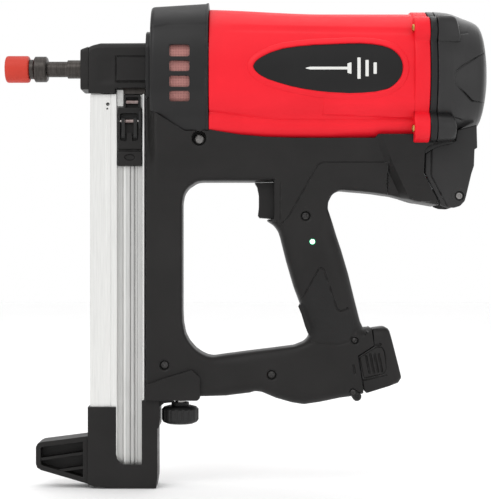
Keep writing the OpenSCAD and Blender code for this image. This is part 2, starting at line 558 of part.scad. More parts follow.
module knob_screw() color(STEEL) zcyl(146, 0, -291.8, -257, 3.97);
// the foot is fixed from the far side only
module magazine_screws() color(STEEL) for (p = [[78,-294],[78,-336]]) difference() {
    ycyl(p[0], p[1], 12.05, 16.6, 2.6);
    translate([p[0], 15.4, p[1]]) rotate([-90,0,0]) cylinder(h=1.6, r=1.3, $fn=6);
}

muzzle_cap();
contact_probe();
probe_linkage();
combustion_sleeve();
sleeve_spring();
nose_plate();
nose_housing();
nail_guide();
nose_frame();
front_cover();
filter_screens();
drive_cylinder();
bumper();
piston();
piston_rings();
driver_blade();
cylinder_seals();
cylinder_head();
spark_plug();
fan_motor();
fan_impeller();
head_ring();
rear_cap();
rear_cap_screws();
shroud();
shroud_inserts();
badges();
housing_left();
housing_right();
housing_screws();
grip_pad_left();
grip_pad_right();
trigger();
trigger_spring();
trigger_switch();
status_led();
control_board();
gas_can();
metering_valve();
gas_tube();
gas_door();
gas_door_pin();
battery_pack();
battery_latch();
battery_contacts();
magazine_rail();
magazine_hook();
magazine_pin();
feed_block();
spring_bracket();
follower();
follower_latch();
latch_pin();
follower_spring();
magazine_foot();
support_foot();
magazine_bracket();
knob();
knob_screw();
magazine_screws();
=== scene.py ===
import bpy, bmesh, math, json, random
import numpy as np
from mathutils import Vector, Matrix
from mathutils.geometry import delaunay_2d_cdt


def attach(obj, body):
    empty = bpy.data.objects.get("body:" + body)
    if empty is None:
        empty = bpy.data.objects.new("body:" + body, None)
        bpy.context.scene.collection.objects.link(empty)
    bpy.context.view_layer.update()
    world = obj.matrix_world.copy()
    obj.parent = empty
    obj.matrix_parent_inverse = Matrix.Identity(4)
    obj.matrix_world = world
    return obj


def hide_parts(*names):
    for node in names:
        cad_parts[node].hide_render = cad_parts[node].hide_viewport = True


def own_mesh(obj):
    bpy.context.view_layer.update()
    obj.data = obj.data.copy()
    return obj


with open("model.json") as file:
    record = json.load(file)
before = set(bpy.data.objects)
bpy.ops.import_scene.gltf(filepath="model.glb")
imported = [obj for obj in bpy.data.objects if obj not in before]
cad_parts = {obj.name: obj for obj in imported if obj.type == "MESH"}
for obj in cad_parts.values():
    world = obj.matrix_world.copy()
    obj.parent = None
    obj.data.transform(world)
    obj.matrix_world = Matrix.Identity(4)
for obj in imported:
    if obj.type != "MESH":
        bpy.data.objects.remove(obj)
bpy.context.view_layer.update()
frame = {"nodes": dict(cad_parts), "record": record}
NODES = frame["nodes"]
MM = 0.001
random.seed(7)


# ------------------------------------------------------------------ materials
def mat(name, base, rough=0.5, metal=0.0, spec=0.5, coat=0.0, coat_rough=0.2, sheen=0.0, emission=None, emit=0.0, aniso=0.0, trans=0.0, ior=1.5):
    m = bpy.data.materials.new(name)
    m.use_nodes = True
    nt = m.node_tree
    b = nt.nodes["Principled BSDF"]
    b.inputs["Base Color"].default_value = (*base, 1)
    b.inputs["Roughness"].default_value = rough
    b.inputs["Metallic"].default_value = metal
    b.inputs["Specular IOR Level"].default_value = spec
    b.inputs["Coat Weight"].default_value = coat
    b.inputs["Coat Roughness"].default_value = coat_rough
    b.inputs["Sheen Weight"].default_value = sheen
    b.inputs["Anisotropic"].default_value = aniso
    b.inputs["Transmission Weight"].default_value = trans
    b.inputs["IOR"].default_value = ior
    if emission:
        b.inputs["Emission Color"].default_value = (*emission, 1)
        b.inputs["Emission Strength"].default_value = emit
    return m, nt, b


def coords(nt, scale=(1, 1, 1)):
    tc = nt.nodes.new("ShaderNodeTexCoord")
    mp = nt.nodes.new("ShaderNodeMapping")
    mp.inputs["Scale"].default_value = scale
    nt.links.new(tc.outputs["Object"], mp.inputs["Vector"])
    return mp.outputs["Vector"]


def noise(nt, vec, scale, detail=4, rough=0.55, dist=0.0):
    n = nt.nodes.new("ShaderNodeTexNoise")
    n.inputs["Scale"].default_value = scale
    n.inputs["Detail"].default_value = detail
    n.inputs["Roughness"].default_value = rough
    n.inputs["Distortion"].default_value = dist
    nt.links.new(vec, n.inputs["Vector"])
    return n.outputs["Fac"]


def ramp(nt, fac, stops):
    r = nt.nodes.new("ShaderNodeValToRGB")
    el = r.color_ramp.elements
    while len(el) < len(stops):
        el.new(0.5)
    for e, (p, c) in zip(el, stops):
        e.position = p
        e.color = (*c, 1) if len(c) == 3 else c
    nt.links.new(fac, r.inputs["Fac"])
    return r.outputs["Color"]


def grey(v):
    return (v, v, v)


def bump(nt, b, height, strength=0.2, dist=0.0002, prev=None):
    n = nt.nodes.new("ShaderNodeBump")
    n.inputs["Strength"].default_value = strength
    n.inputs["Distance"].default_value = dist
    nt.links.new(height, n.inputs["Height"])
    if prev is not None:
        nt.links.new(prev, n.inputs["Normal"])
    nt.links.new(n.outputs["Normal"], b.inputs["Normal"])
    return n.outputs["Normal"]


def mix_rgb(nt, fac, a, b_, mode="MIX"):
    n = nt.nodes.new("ShaderNodeMix")
    n.data_type = "RGBA"
    n.blend_type = mode
    for sock, v in ((n.inputs[0], fac), (n.inputs[6], a), (n.inputs[7], b_)):
        if isinstance(v, (int, float)):
            sock.default_value = v
        elif isinstance(v, tuple):
            sock.default_value = (*v, 1)
        else:
            nt.links.new(v, sock)
    return n.outputs[2]


def edge_mask(nt, radius=0.0005, lo=0.004, hi=0.06):
    bv = nt.nodes.new("ShaderNodeBevel")
    bv.samples = 4
    bv.inputs["Radius"].default_value = radius
    geo = nt.nodes.new("ShaderNodeNewGeometry")
    dt = nt.nodes.new("ShaderNodeVectorMath")
    dt.operation = "DOT_PRODUCT"
    nt.links.new(bv.outputs["Normal"], dt.inputs[0])
    nt.links.new(geo.outputs["Normal"], dt.inputs[1])
    return ramp(nt, dt.outputs["Value"], [(1 - hi, grey(1)), (1 - lo, grey(0))])


def plastic(name, lo, hi, rough=(0.42, 0.56), grain=1500, gs=0.25, spec=0.3, wear=(0.16, 0.16, 0.165), worn=True, sheen=0.0):
    m, nt, b = mat(name, lo, rough=rough[0], spec=spec, sheen=sheen)
    v = coords(nt)
    col = ramp(nt, noise(nt, v, 22, 5), [(0.3, lo), (0.72, hi)])
    if worn:
        spots = ramp(nt, noise(nt, v, 170, 6, 0.7), [(0.46, grey(0)), (0.68, grey(1))])
        both = mix_rgb(nt, 1.0, edge_mask(nt), spots, "MULTIPLY")
        col = mix_rgb(nt, both, col, wear)
    nt.links.new(col, b.inputs["Base Color"])
    smear = noise(nt, coords(nt, (1, 1, 3)), 60, 6, 0.65)
    nt.links.new(ramp(nt, smear, [(0.3, grey(rough[0])), (0.75, grey(rough[1]))]), b.inputs["Roughness"])
    n1 = bump(nt, b, noise(nt, v, grain, 2, 0.6), gs, 0.00012)
    bump(nt, b, noise(nt, v, 90, 3), 0.06, 0.0006, n1)
    return m


def metal(name, lo, hi, rough=(0.25, 0.4), scale=(1, 1, 1), sc=400, bs=0.12, aniso=0.0):
    m, nt, b = mat(name, lo, metal=1.0, aniso=aniso)
    v = coords(nt, scale)
    n = noise(nt, v, sc, 5, 0.6)
    nt.links.new(ramp(nt, n, [(0.3, lo), (0.7, hi)]), b.inputs["Base Color"])
    v2 = coords(nt)
    nt.links.new(ramp(nt, noise(nt, v2, 35, 6, 0.7), [(0.3, grey(rough[0])), (0.75, grey(rough[1]))]), b.inputs["Roughness"])
    bump(nt, b, n, bs, 0.0001)
    return m


M = {}
M["black_plastic"] = plastic("black_plastic", (0.0098, 0.0092, 0.0090), (0.0145, 0.0137, 0.0134), rough=(0.40, 0.52), wear=(0.06, 0.06, 0.06), spec=0.2)
M["cover_black"] = plastic("cover_black", (0.0080, 0.0078, 0.0080), (0.0118, 0.0115, 0.0118), rough=(0.34, 0.44), grain=2200, gs=0.14, wear=(0.06, 0.06, 0.06), spec=0.26)
# door black: a lighter copy of the black plastic; its extra lightness is painted light, standing in for the light the
# proud door catches
M["door_black"] = plastic("door_black", (0.0150, 0.0146, 0.0148), (0.0205, 0.0200, 0.0202), rough=(0.38, 0.50), wear=(0.07, 0.07, 0.07), spec=0.26)
M["cap_black"] = plastic("cap_black", (0.0098, 0.0095, 0.0098), (0.0145, 0.0141, 0.0145), rough=(0.30, 0.40), grain=2200, gs=0.14, wear=(0.07, 0.07, 0.07), spec=0.36)
M["badge_black"] = plastic("badge_black", (0.0068, 0.0066, 0.0068), (0.0100, 0.0098, 0.0100), rough=(0.38, 0.48), grain=2600, gs=0.12, wear=(0.02, 0.02, 0.02), spec=0.2)
M["knob_black"] = plastic("knob_black", (0.010, 0.010, 0.010), (0.016, 0.016, 0.016), rough=(0.45, 0.6), wear=(0.05, 0.05, 0.05))
M["inner_plastic"] = plastic("inner_plastic", (0.10, 0.10, 0.11), (0.14, 0.14, 0.15), wear=(0.2, 0.2, 0.2))
M["grip_rubber"] = plastic("grip_rubber", (0.0105, 0.0102, 0.0102), (0.015, 0.0145, 0.0145), rough=(0.56, 0.68), grain=900, gs=0.42, spec=0.2, wear=(0.025, 0.025, 0.025), sheen=0.05)
M["seal_rubber"] = plastic("seal_rubber", (0.008, 0.008, 0.008), (0.012, 0.012, 0.012), rough=(0.5, 0.6), worn=False)
M["red_plastic"] = plastic("red_plastic", (0.69, 0.006, 0.016), (0.765, 0.009, 0.021), rough=(0.40, 0.50), grain=1700, gs=0.10, wear=(0.80, 0.05, 0.06), spec=0.22)
M["red_cap"] = plastic("red_cap", (0.43, 0.026, 0.013), (0.52, 0.036, 0.019), rough=(0.42, 0.6), grain=700, gs=0.3, wear=(0.60, 0.14, 0.10))
M["dark_steel"] = metal("dark_steel", (0.040, 0.036, 0.033), (0.075, 0.068, 0.064), (0.30, 0.5), (4, 0.4, 0.4), 260)
M["steel"] = metal("steel", (0.38, 0.37, 0.36), (0.52, 0.51, 0.50), (0.24, 0.4), (1, 1, 1), 300)
M["screw_steel"] = metal("screw_steel", (0.035, 0.034, 0.034), (0.075, 0.073, 0.072), (0.28, 0.48), (1, 1, 1), 500)
M["screw_bright"] = metal("screw_bright", (0.16, 0.155, 0.15), (0.28, 0.27, 0.265), (0.28, 0.45), (1, 1, 1), 500)
M["cast_alu"] = metal("cast_alu", (0.42, 0.42, 0.41), (0.54, 0.54, 0.53), (0.35, 0.55), (1, 1, 1), 600, 0.3)
M["rail_alu"] = metal("rail_alu", (0.67, 0.67, 0.655), (0.755, 0.755, 0.74), (0.40, 0.48), (9, 9, 0.25), 160, 0.06, 0.3)
# rail channel: a darker copy of the rail aluminium; the darkness is painted shade in the recessed channel
M["rail_channel"] = metal("rail_channel", (0.46, 0.46, 0.45), (0.555, 0.555, 0.545), (0.36, 0.46), (9, 9, 0.25), 160, 0.08, 0.3)
M["can"] = metal("can", (0.62, 0.63, 0.66), (0.72, 0.73, 0.75), (0.2, 0.3), (1, 1, 1), 60, 0.03)
M["brown_steel"] = metal("brown_steel", (0.10, 0.062, 0.058), (0.30, 0.25, 0.24), (0.25, 0.4), (1, 1, 1), 220)
M["brass"] = metal("brass", (0.42, 0.24, 0.06), (0.58, 0.38, 0.13), (0.3, 0.45))
M["white_print"] = plastic("white_print", (0.60, 0.60, 0.58), (0.70, 0.70, 0.68), rough=(0.5, 0.6), worn=False)
M["board"] = plastic("board", (0.02, 0.12, 0.05), (0.03, 0.16, 0.07), worn=False)
M["ceramic"] = plastic("ceramic", (0.7, 0.7, 0.66), (0.8, 0.8, 0.76), rough=(0.15, 0.25), worn=False)


def mesh_screen():
    m, nt, b = mat("screen", (0.4, 0.17, 0.15), rough=0.55, metal=0.35)
    v = coords(nt)
    w = []
    for direction in ("X", "Z"):
        t = nt.nodes.new("ShaderNodeTexWave")
        t.wave_type = "BANDS"
        t.bands_direction = direction
        t.inputs["Scale"].default_value = 240
        t.inputs["Distortion"].default_value = 0.5
        t.inputs["Detail"].default_value = 1
        nt.links.new(v, t.inputs["Vector"])
        w.append(t.outputs["Fac"])
    both = mix_rgb(nt, 1.0, w[0], w[1], "LIGHTEN")
    col = ramp(nt, both, [(0.2, (0.10, 0.03, 0.028)), (0.85, (0.56, 0.27, 0.24))])
    dirt = noise(nt, v, 130, 4)
    col = mix_rgb(nt, dirt, col, (0.33, 0.13, 0.12))
    nt.links.new(col, b.inputs["Base Color"])
    bump(nt, b, both, 0.5, 0.0003)
    return m


M["screen"] = mesh_screen()
m_led, nt_led, b_led = mat("led", (0.55, 0.95, 0.78), rough=0.15, emission=(0.35, 1.0, 0.66), emit=5.0)
M["led"] = m_led
m_glow, nt_g, b_g = mat("led_ring", (0.01, 0.10, 0.05), rough=0.35, emission=(0.02, 0.42, 0.16), emit=0.28)
M["led_ring"] = m_glow
vg = coords(nt_g)
nt_g.links.new(ramp(nt_g, noise(nt_g, vg, 600), [(0.3, grey(0.3)), (0.7, grey(0.4))]), b_g.inputs["Roughness"])
nt_led.links.new(ramp(nt_led, noise(nt_led, coords(nt_led), 500), [(0.3, grey(0.1)), (0.7, grey(0.2))]), b_led.inputs["Roughness"])


def set_mat(o, key):
    o.data.materials.clear()
    o.data.materials.append(M[key])


# ------------------------------------------------------------------ 2D helpers (millimetres, x and z)
def about(pts, k):
    return [(200.8 + (x - 200.8) * k, -151.2 + (z + 151.2) * k) for x, z in pts]


def area(p):
    p = np.array(p)
    x, y = p[:, 0], p[:, 1]
    return 0.5 * np.sum(x * np.roll(y, -1) - np.roll(x, -1) * y)


def fillet(pts, r=8, n=5):
    """Rounds each corner; a point is (x, z) or (x, z, radius)."""
    out = []
    m = len(pts)
    for i in range(m):
        p = np.array(pts[i][:2], float)
        a = np.array(pts[i - 1][:2], float)
        b = np.array(pts[(i + 1) % m][:2], float)
        rr = pts[i][2] if len(pts[i]) > 2 else r
        u, w = a - p, b - p
        lu, lw = np.linalg.norm(u), np.linalg.norm(w)
        cosang = np.clip(np.dot(u, w) / (lu * lw), -1, 1)
        turn = math.pi - math.acos(cosang)
        t = min(rr * math.tan(min(turn, 3.0) / 2), 0.46 * lu, 0.46 * lw)
        if turn < 0.02 or t < 0.02:
            out.append(tuple(p))
            continue
        s, e = p + u / lu * t, p + w / lw * t
        for k in range(n + 1):
            f = k / n
            q = (1 - f) ** 2 * s + 2 * f * (1 - f) * p + f * f * e
            out.append((q[0], q[1]))
    return out


def resample(pts, step, closed=True):
    p = np.array([q[:2] for q in pts], float)
    m = len(p)
    out = []
    for i in range(m if closed else m - 1):
        a, b = p[i], p[(i + 1) % m]
        n = max(1, int(math.ceil(np.linalg.norm(b - a) / step)))
        for k in range(n):
            out.append(a + (b - a) * k / n)
    if not closed:
        out.append(p[-1])
    out = np.array(out)
    keep = [0]
    for i in range(1, len(out)):
        if np.linalg.norm(out[i] - out[keep[-1]]) > step * 0.25:
            keep.append(i)
    if closed and np.linalg.norm(out[keep[-1]] - out[keep[0]]) < step * 0.25:
        keep.pop()
    return out[keep]


def seg_dist(P, line, closed=False):
    """Least distance from each of P to a polyline."""
    L = np.array([q[:2] for q in line], float)
    A = L if closed else L[:-1]
    B = np.roll(L, -1, 0) if closed else L[1:]
    best = np.full(len(P), 1e9)
    for a, b in zip(A, B):
        ab = b - a
        t = np.clip(((P - a) @ ab) / max(ab @ ab, 1e-12), 0, 1)
        d = np.hypot(*(P - (a + t[:, None] * ab)).T)
        np.minimum(best, d, out=best)
    return best


def inside(P, poly):
    q = np.array([s[:2] for s in poly], float)
    x, y = P[:, 0], P[:, 1]
    res = np.zeros(len(P), bool)
    j = len(q) - 1
    for i in range(len(q)):
        xi, yi, xj, yj = q[i, 0], q[i, 1], q[j, 0], q[j, 1]
        if yi != yj:
            c = ((yi > y) != (yj > y)) & (x < (xj - xi) * (y - yi) / (yj - yi) + xi)
            res ^= c
        j = i
    return res


def sstep(x, a, b):
    t = np.clip((x - a) / (b - a), 0, 1)
    return t * t * (3 - 2 * t)


def link(me, name, body, matkey, replaces=(), smooth_angle=38):
    o = bpy.data.objects.new(name, me)
    bpy.context.scene.collection.objects.link(o)
    for p in me.polygons:
        p.use_smooth = True
    if smooth_angle < 180:
        me.set_sharp_from_angle(angle=math.radians(smooth_angle))
    set_mat(o, matkey)
    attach(o, body)
    if replaces:
        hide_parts(*replaces)
    return o


def mesh_from(V, F, name):
    me = bpy.data.meshes.new(name)
    me.from_pydata([tuple(v) for v in V], [], F)
    me.validate()
    bm = bmesh.new()
    bm.from_mesh(me)
    bmesh.ops.remove_doubles(bm, verts=bm.verts, dist=1e-7)
    bmesh.ops.recalc_face_normals(bm, faces=bm.faces)
    bm.to_mesh(me)
    bm.free()
    return me


def relief(name, outer, holes, hfun, side=-1, ybase=0.0, grid=1.5, edge=1.0, rings=(0.25, 0.7, 1.4, 2.4, 3.6), lines=(), lw=(0.0, 0.35, 0.75, 1.2)):
    """A plate that stands from ybase to hfun(P, d) on one side, with true walls along its outline and holes."""
    loops = [resample(outer, edge)] + [resample(h, edge) for h in holes]
    if area(loops[0]) < 0:
        loops[0] = loops[0][::-1]
    for i in range(1, len(loops)):
        if area(loops[i]) > 0:
            loops[i] = loops[i][::-1]

    def dist(P):
        d = np.full(len(P), 1e9)
        for l in loops:
            np.minimum(d, seg_dist(P, l, True), out=d)
        return d

    def within(P):
        r = inside(P, loops[0])
        for l in loops[1:]:
            r &= ~inside(P, l)
        return r

    pts = [np.vstack(loops)]
    for rd in rings:
        for l in loops:
            t = np.roll(l, -1, 0) - np.roll(l, 1, 0)
            t /= np.linalg.norm(t, axis=1)[:, None]
            n = np.stack([-t[:, 1], t[:, 0]], 1)
            q = l + n * rd
            q = q[within(q)]
            if len(q):
                q = q[dist(q) > rd * 0.96]
                pts.append(q)
    feat = []
    for line in lines:
        closed = isinstance(line, tuple) and line[0] == "closed"
        L = resample(line[1] if closed else line, 0.9, closed)
        t = np.gradient(L, axis=0) if not closed else np.roll(L, -1, 0) - np.roll(L, 1, 0)
        t /= np.linalg.norm(t, axis=1)[:, None] + 1e-12
        n = np.stack([-t[:, 1], t[:, 0]], 1)
        for w in lw:
            for s in ((1, -1) if w else (1,)):
                q = L + s * w * n
                q = q[within(q)]
                if len(q):
                    q = q[dist(q) > 0.2]
                if len(q) and w:
                    q = q[seg_dist(q, L, closed) > w * 0.9]
                feat.append(q)
        feat_line = L
    lo, hi = loops[0].min(0), loops[0].max(0)
    gx = np.arange(lo[0], hi[0], grid)
    gz = np.arange(lo[1], hi[1], grid * 0.866)
    G = []
    for k, z in enumerate(gz):
        G.append(np.stack([gx + (0.5 * grid if k % 2 else 0), np.full(len(gx), z)], 1))
    G = np.vstack(G)
    G = G[within(G)]
    G = G[dist(G) > (rings[-1] if rings else 0) + 0.5 * grid]
    for line in lines:
        closed = isinstance(line, tuple) and line[0] == "closed"
        G = G[seg_dist(G, line[1] if closed else line, closed) > lw[-1] + 0.35 * grid]
    pts += [f for f in feat if len(f)]
    nb = len(pts[0])
    allp = np.vstack(pts + [G])
    # thin out points that fall on top of each other
    key = {}
    keep = []
    for i, p in enumerate(allp):
        k = (round(p[0] / 0.16), round(p[1] / 0.16))
        if i < nb or k not in key:
            key[k] = i
            keep.append(i)
    allp = allp[keep]
    edges = []
    base = 0
    for l in loops:
        m = len(l)
        edges += [(base + i, base + (i + 1) % m) for i in range(m)]
        base += m
    vo, eo, fo, ov, oe, of_ = delaunay_2d_cdt([Vector((p[0], p[1])) for p in allp], edges, [], 0, 1e-5)
    P = np.array([(v[0], v[1]) for v in vo])
    T = np.array([f for f in fo if len(f) == 3])
    cen = P[T].mean(1)
    T = T[within(cen)]
    # counter-clockwise
    a, b, c = P[T[:, 0]], P[T[:, 1]], P[T[:, 2]]
    cr = (b[:, 0] - a[:, 0]) * (c[:, 1] - a[:, 1]) - (b[:, 1] - a[:, 1]) * (c[:, 0] - a[:, 0])
    T = T[np.abs(cr) > 1e-7]
    cr = cr[np.abs(cr) > 1e-7]
    T[cr < 0] = T[cr < 0][:, ::-1]
    d = dist(P)
    h = np.maximum(hfun(P, d), ybase + 0.2)
    n = len(P)
    top = np.stack([P[:, 0] * MM, side * h * MM, P[:, 1] * MM], 1)
    bot = np.stack([P[:, 0] * MM, np.full(n, side * ybase * MM), P[:, 1] * MM], 1)
    F = [tuple(t) for t in T] + [tuple(t[::-1] + n) for t in T]
    cnt = {}
    for t in T:
        for i in range(3):
            e = (t[i], t[(i + 1) % 3])
            cnt[e] = 1
    for (i, j) in cnt:
        if (j, i) not in cnt:
            F.append((j, i, i + n, j + n))
    V = np.vstack([top, bot])
    me = mesh_from(V, F, name)
    return me


# ------------------------------------------------------------------ head sections (millimetres)
HZ = -7.0


def sup(u, n=2.45):
    return np.power(np.clip(1 - np.power(np.clip(np.abs(u), 0, 1), n), 0, 1), 1 / n)


SKIRT = [(0, 0), (0, -14), (-2.0, -23), (-5.0, -30), (-8.6, -35.8), (-10.4, -41), (-11.8, -46), (-14.4, -50.0), (-17.0, -52.4)]


def side_y(z, a=46.0, b=52.0, zc=HZ):
    """Half width of the shroud at height z."""
    z = np.asarray(z, float)
    up = a * sup((z - zc) / b)
    K = np.array(SKIRT[::-1])
    low = a + np.interp(z - zc, K[:, 1], K[:, 0])
    return np.where(z > zc, up, low)


def half_section(a, b, zc, m=60, top=0.0, flat=False):
    """Points (y, z) from the top centre down one side to the bottom centre."""
    t = np.linspace(90, 0, m)
    c, s = np.cos(np.radians(t)), np.sin(np.radians(t))
    up = [(a * abs(ci) ** (2 / 2.45), zc + (b + top) * abs(si) ** (2 / 2.45)) for ci, si in zip(c, s)]
    low = [(a + k[0], zc + k[1] * b / 52.0) for k in SKIRT]
    lo2 = [low[0]]
    pts = [up[-2]] + low + [(a - 22, zc - b - 1.0)]
    for i in range(1, len(pts) - 2):
        p0, p1, p2, p3 = map(np.array, pts[i - 1:i + 3])
        for k in range(1, 9):
            f = k / 8
            q = 0.5 * ((2 * p1) + (-p0 + p2) * f + (2 * p0 - 5 * p1 + 4 * p2 - p3) * f * f + (-p0 + 3 * p1 - 3 * p2 + p3) * f ** 3)
            lo2.append((max(q[0], 0), q[1]))
    lo2.append((a - 20, zc - b - 0.4))
    lo2.append((0, zc - b - 0.4))
    return np.array(up + lo2[1:], float)


def even(line, n):
    seg = np.hypot(*np.diff(line, axis=0).T)
    s = np.concatenate([[0], np.cumsum(seg)])
    t = np.linspace(0, s[-1], n)
    return np.stack([np.interp(t, s, line[:, 0]), np.interp(t, s, line[:, 1])], 1)


def loft(name, xs, secfun, disp=None, cap0=True, cap1=True, inner=None):
    """Skin over closed sections: secfun(x) gives (n, 2) points (y, z) round the section."""
    rings = []
    for x in xs:
        s = secfun(x)
        if disp is not None:
            t = np.roll(s, -1, 0) - np.roll(s, 1, 0)
            t /= np.linalg.norm(t, axis=1)[:, None] + 1e-12
            nrm = np.stack([t[:, 1], -t[:, 0]], 1)
            c = s.mean(0)
            sg = np.sign(((s - c) * nrm).sum(1).sum())
            s = s + nrm * sg * disp(x, s)[:, None]
        rings.append(s)
    n = len(rings[0])
    V, F = [], []
    for x, s in zip(xs, rings):
        V += [(x * MM, p[0] * MM, p[1] * MM) for p in s]
    for i in range(len(xs) - 1):
        for k in range(n):
            a, b = i * n + k, i * n + (k + 1) % n
            F.append((a, b, b + n, a + n))
    if inner is not None:
        base = len(V)
        xi = xs
        for x in xi:
            s = inner(x)
            V += [(x * MM, p[0] * MM, p[1] * MM) for p in s]
        for i in range(len(xi) - 1):
            for k in range(n):
                a, b = base + i * n + k, base + i * n + (k + 1) % n
                F.append((a, a + n, b + n, b))
        last = (len(xs) - 1) * n
        for k in range(n):
            k2 = (k + 1) % n
            F.append((k, base + k, base + k2, k2))
            F.append((last + k, last + k2, base + last + k2, base + last + k))
    else:
        if cap0:
            F.append(tuple(range(n)))
        if cap1:
            F.append(tuple(range((len(xs) - 1) * n, len(xs) * n))[::-1])
    return mesh_from(V, F, name)


def full(half, n):
    """Closed section from the half section: +y side then -y side, n points a side."""
    h = even(half, n)
    left = h[1:-1][::-1].copy()
    left[:, 0] *= -1
    return np.vstack([h, left])


# ------------------------------------------------------------------ carried-over CAD pieces: edges eased, materials set
def ease(node, width=0.35, seg=2, angle=38):
    o = NODES[node]
    w = o.modifiers.new("weld", "WELD")
    w.merge_threshold = 1e-6
    b = o.modifiers.new("ease", "BEVEL")
    b.width = width * MM
    b.segments = seg
    b.limit_method = "ANGLE"
    b.angle_limit = math.radians(angle)
    b.use_clamp_overlap = True
    b.harden_normals = False
    for p in o.data.polygons:
        p.use_smooth = True
    o.data.set_sharp_from_angle(angle=math.radians(angle))
    wn = o.modifiers.new("wn", "WEIGHTED_NORMAL")
    wn.keep_sharp = False


slots = {s["node"]: s["material_slot"] for s in frame["record"]["subparts"]}
for n, o in NODES.items():
    key = slots.get(n, "black_plastic")
    set_mat(o, key if key in M else "black_plastic")
set_mat(NODES["housing_screws"], "screw_steel")
set_mat(NODES["magazine_screws"], "screw_steel")
set_mat(NODES["gas_door_pin"], "screw_steel")
set_mat(NODES["magazine_hook"], "rail_alu")
set_mat(NODES["rear_cap_screws"], "screw_steel")
set_mat(NODES["nail_guide"], "dark_steel")
set_mat(NODES["follower_spring"], "brown_steel")
for n, w in {"muzzle_cap": 0.25, "contact_probe": 0.3, "trigger": 0.9, "gas_door": 0.7, "gas_door_pin": 0.2,
             "battery_pack": 0.9, "magazine_rail": 0.25, "magazine_foot": 0.6, "support_foot": 0.9, "magazine_bracket": 0.8, "knob": 0.35, "follower": 0.35,
             "follower_latch": 0.3, "spring_bracket": 0.3, "feed_block": 0.3, "housing_screws": 0.2, "rear_cap_screws": 0.2, "magazine_screws": 0.2,
             "probe_linkage": 0.3, "battery_latch": 0.3, "head_ring": 0.6}.items():
    ease(n, w)

# ------------------------------------------------------------------ housing halves
FRAME_OUT = about([(117, -90), (272, -90), (272, -104.8), (270, -110), (270, -117), (275.1, -131.5), (281.8, -151.6), (287.7, -171.8), (292.7, -192), (297.8, -212.1),
    (299.6, -218.4), (296.2, -223), (297.6, -242), (300.9, -272.8), (290.2, -275.2), (280.1, -276.6), (263.8, -280), (250, -282), (239.8, -280.4), (226.4, -276.6),
    (214.6, -271.6), (209, -270.8), (204.5, -272.2), (184.4, -274.6), (171, -274.8), (117, -274.8)], 0.987)
LOOP = about([(148.7, -113), (150, -105.5), (153.4, -100.3), (160.9, -95.4), (166, -94.9), (209, -94.9), (224.3, -94.9), (224.3, -126), (217.4, -126.6), (224.6, -131.3),
    (228.2, -136.6), (229.8, -142), (234.8, -161.7), (240.7, -181.9), (248.2, -202), (253.6, -218), (253.4, -223), (250, -227.6), (241.5, -231), (225.5, -233.1),
    (204.5, -235.6), (184.4, -238.2), (174.3, -239.8), (169.3, -239), (164.2, -236.6), (159.2, -233), (154.2, -227.2), (151, -221), (149.2, -212), (148.7, -202)], 1.008)
# one outline round the lower head and the handle frame
OUT = [(118.2, -26, 1), (123.1, -26, 1), (123.1, -37.2, 1), (151.4, -54.4, 3), (170.5, -54.4, 2), (171.2, -53.4, 1), (182, -55.2), (196, -57.4), (216, -59.2), (240, -60.0),
       (306.2, -60.2, 0.6), (308.8, -57.2, 0.6), (337.6, -57.2, 1), (337.6, -55.8, 0.6), (357, -56.2, 1), (357, -64.4, 1), (350.6, -66.4), (347.3, -69.6, 1), (347.3, -88.7, 2), (359.2, -111.6, 2),
       (360.2, -114.8, 2), (353.6, -113.6), (342, -111.6), (332, -109.2), (322, -106.6), (307.7, -104.4), (297.8, -103.4), (288, -102.6), (279, -101.8, 8)]
fo = FRAME_OUT[4:]
OUT += [(272.6, -105.6, 8), (269.5, -112, 8)] + fo[:6] + [(299.0, -216.4, 1.2), (305.2, -216.0, 1.2), (307.4, -230.6, 0.8), (294.0, -239.4, 0.8), (298.6, -268.4, 1)] + fo[9:-1]
OUT += [(fo[-1][0], fo[-1][1], 1.5), (118.2, -98.4, 1)]
OUTLINE = fillet(OUT, 10)
LOOPF = fillet([(p[0], p[1], 1.2) if 5 <= i <= 8 else p for i, p in enumerate(LOOP)], 14)

SCREWS = [(162.8, -60.2, 6.0, 22.0), (250.6, -123.4, 4.2, 13.0), (133.6, -247.0, 4.2, 13.0), (222.4, -255.0, 4.2, 13.0), (291.4, -226.6, 3.2, 13.6), (290.0, -269.4, 3.2, 13.6)]
PANEL = [(311.6, -50.0), (311.6, -57.0), (321.4, -80.0), (336.6, -111.0), (340.0, -118.0)]
G_BORDER = [(316.0, -79.3), (264.5, -79.3), (260.5, -81.0), (236.6, -123.6), (231.0, -129.4)]
G_RIM = [(343.6, -66.0), (343.6, -66.2)]
# the palm inlay: a lambda groove on the grip, down to the fold where the grip meets the bar
G_LAMBDA = fillet([(240, -202.6, 0), (246.2, -194.6, 2), (262.2, -165.6, 3.4), (265.6, -167.8, 2), (276.6, -200.8, 2.4), (279.6, -202.2, 2), (287.6, -199.4, 0.5)], 3)[1:-1]
G_FOLD = fillet([(249.0, -219.0, 0), (252.6, -226.2, 4), (262.0, -229.8, 8), (277.0, -230.2, 8), (287.6, -227.6, 5), (292.0, -219.0, 0)], 5)
PAD = fillet([(247.4, -195.6, 2), (262.2, -166.8, 3.0), (265.2, -168.8, 2), (275.9, -201.6, 2.6), (279.8, -203.6, 2), (288.2, -200.6, 1.0), (291.0, -211.0, 3), (290.4, -218.4, 3),
              (286.4, -225.6, 5), (277, -227.8, 8), (262.4, -227.4, 8), (254.2, -223.8, 5), (251.2, -216.0, 4), (248.2, -206.0, 3), (245.4, -199.4, 1)], 3)


def circ(x, z, r, n=28):
    return [(x + r * math.cos(2 * math.pi * i / n), z + r * math.sin(2 * math.pi * i / n)) for i in range(n)]


def groove(P, line, width=0.55, depth=0.6, closed=False):
    d = seg_dist(P, line, closed)
    return -depth * (1 - sstep(d, width * 0.35, width))


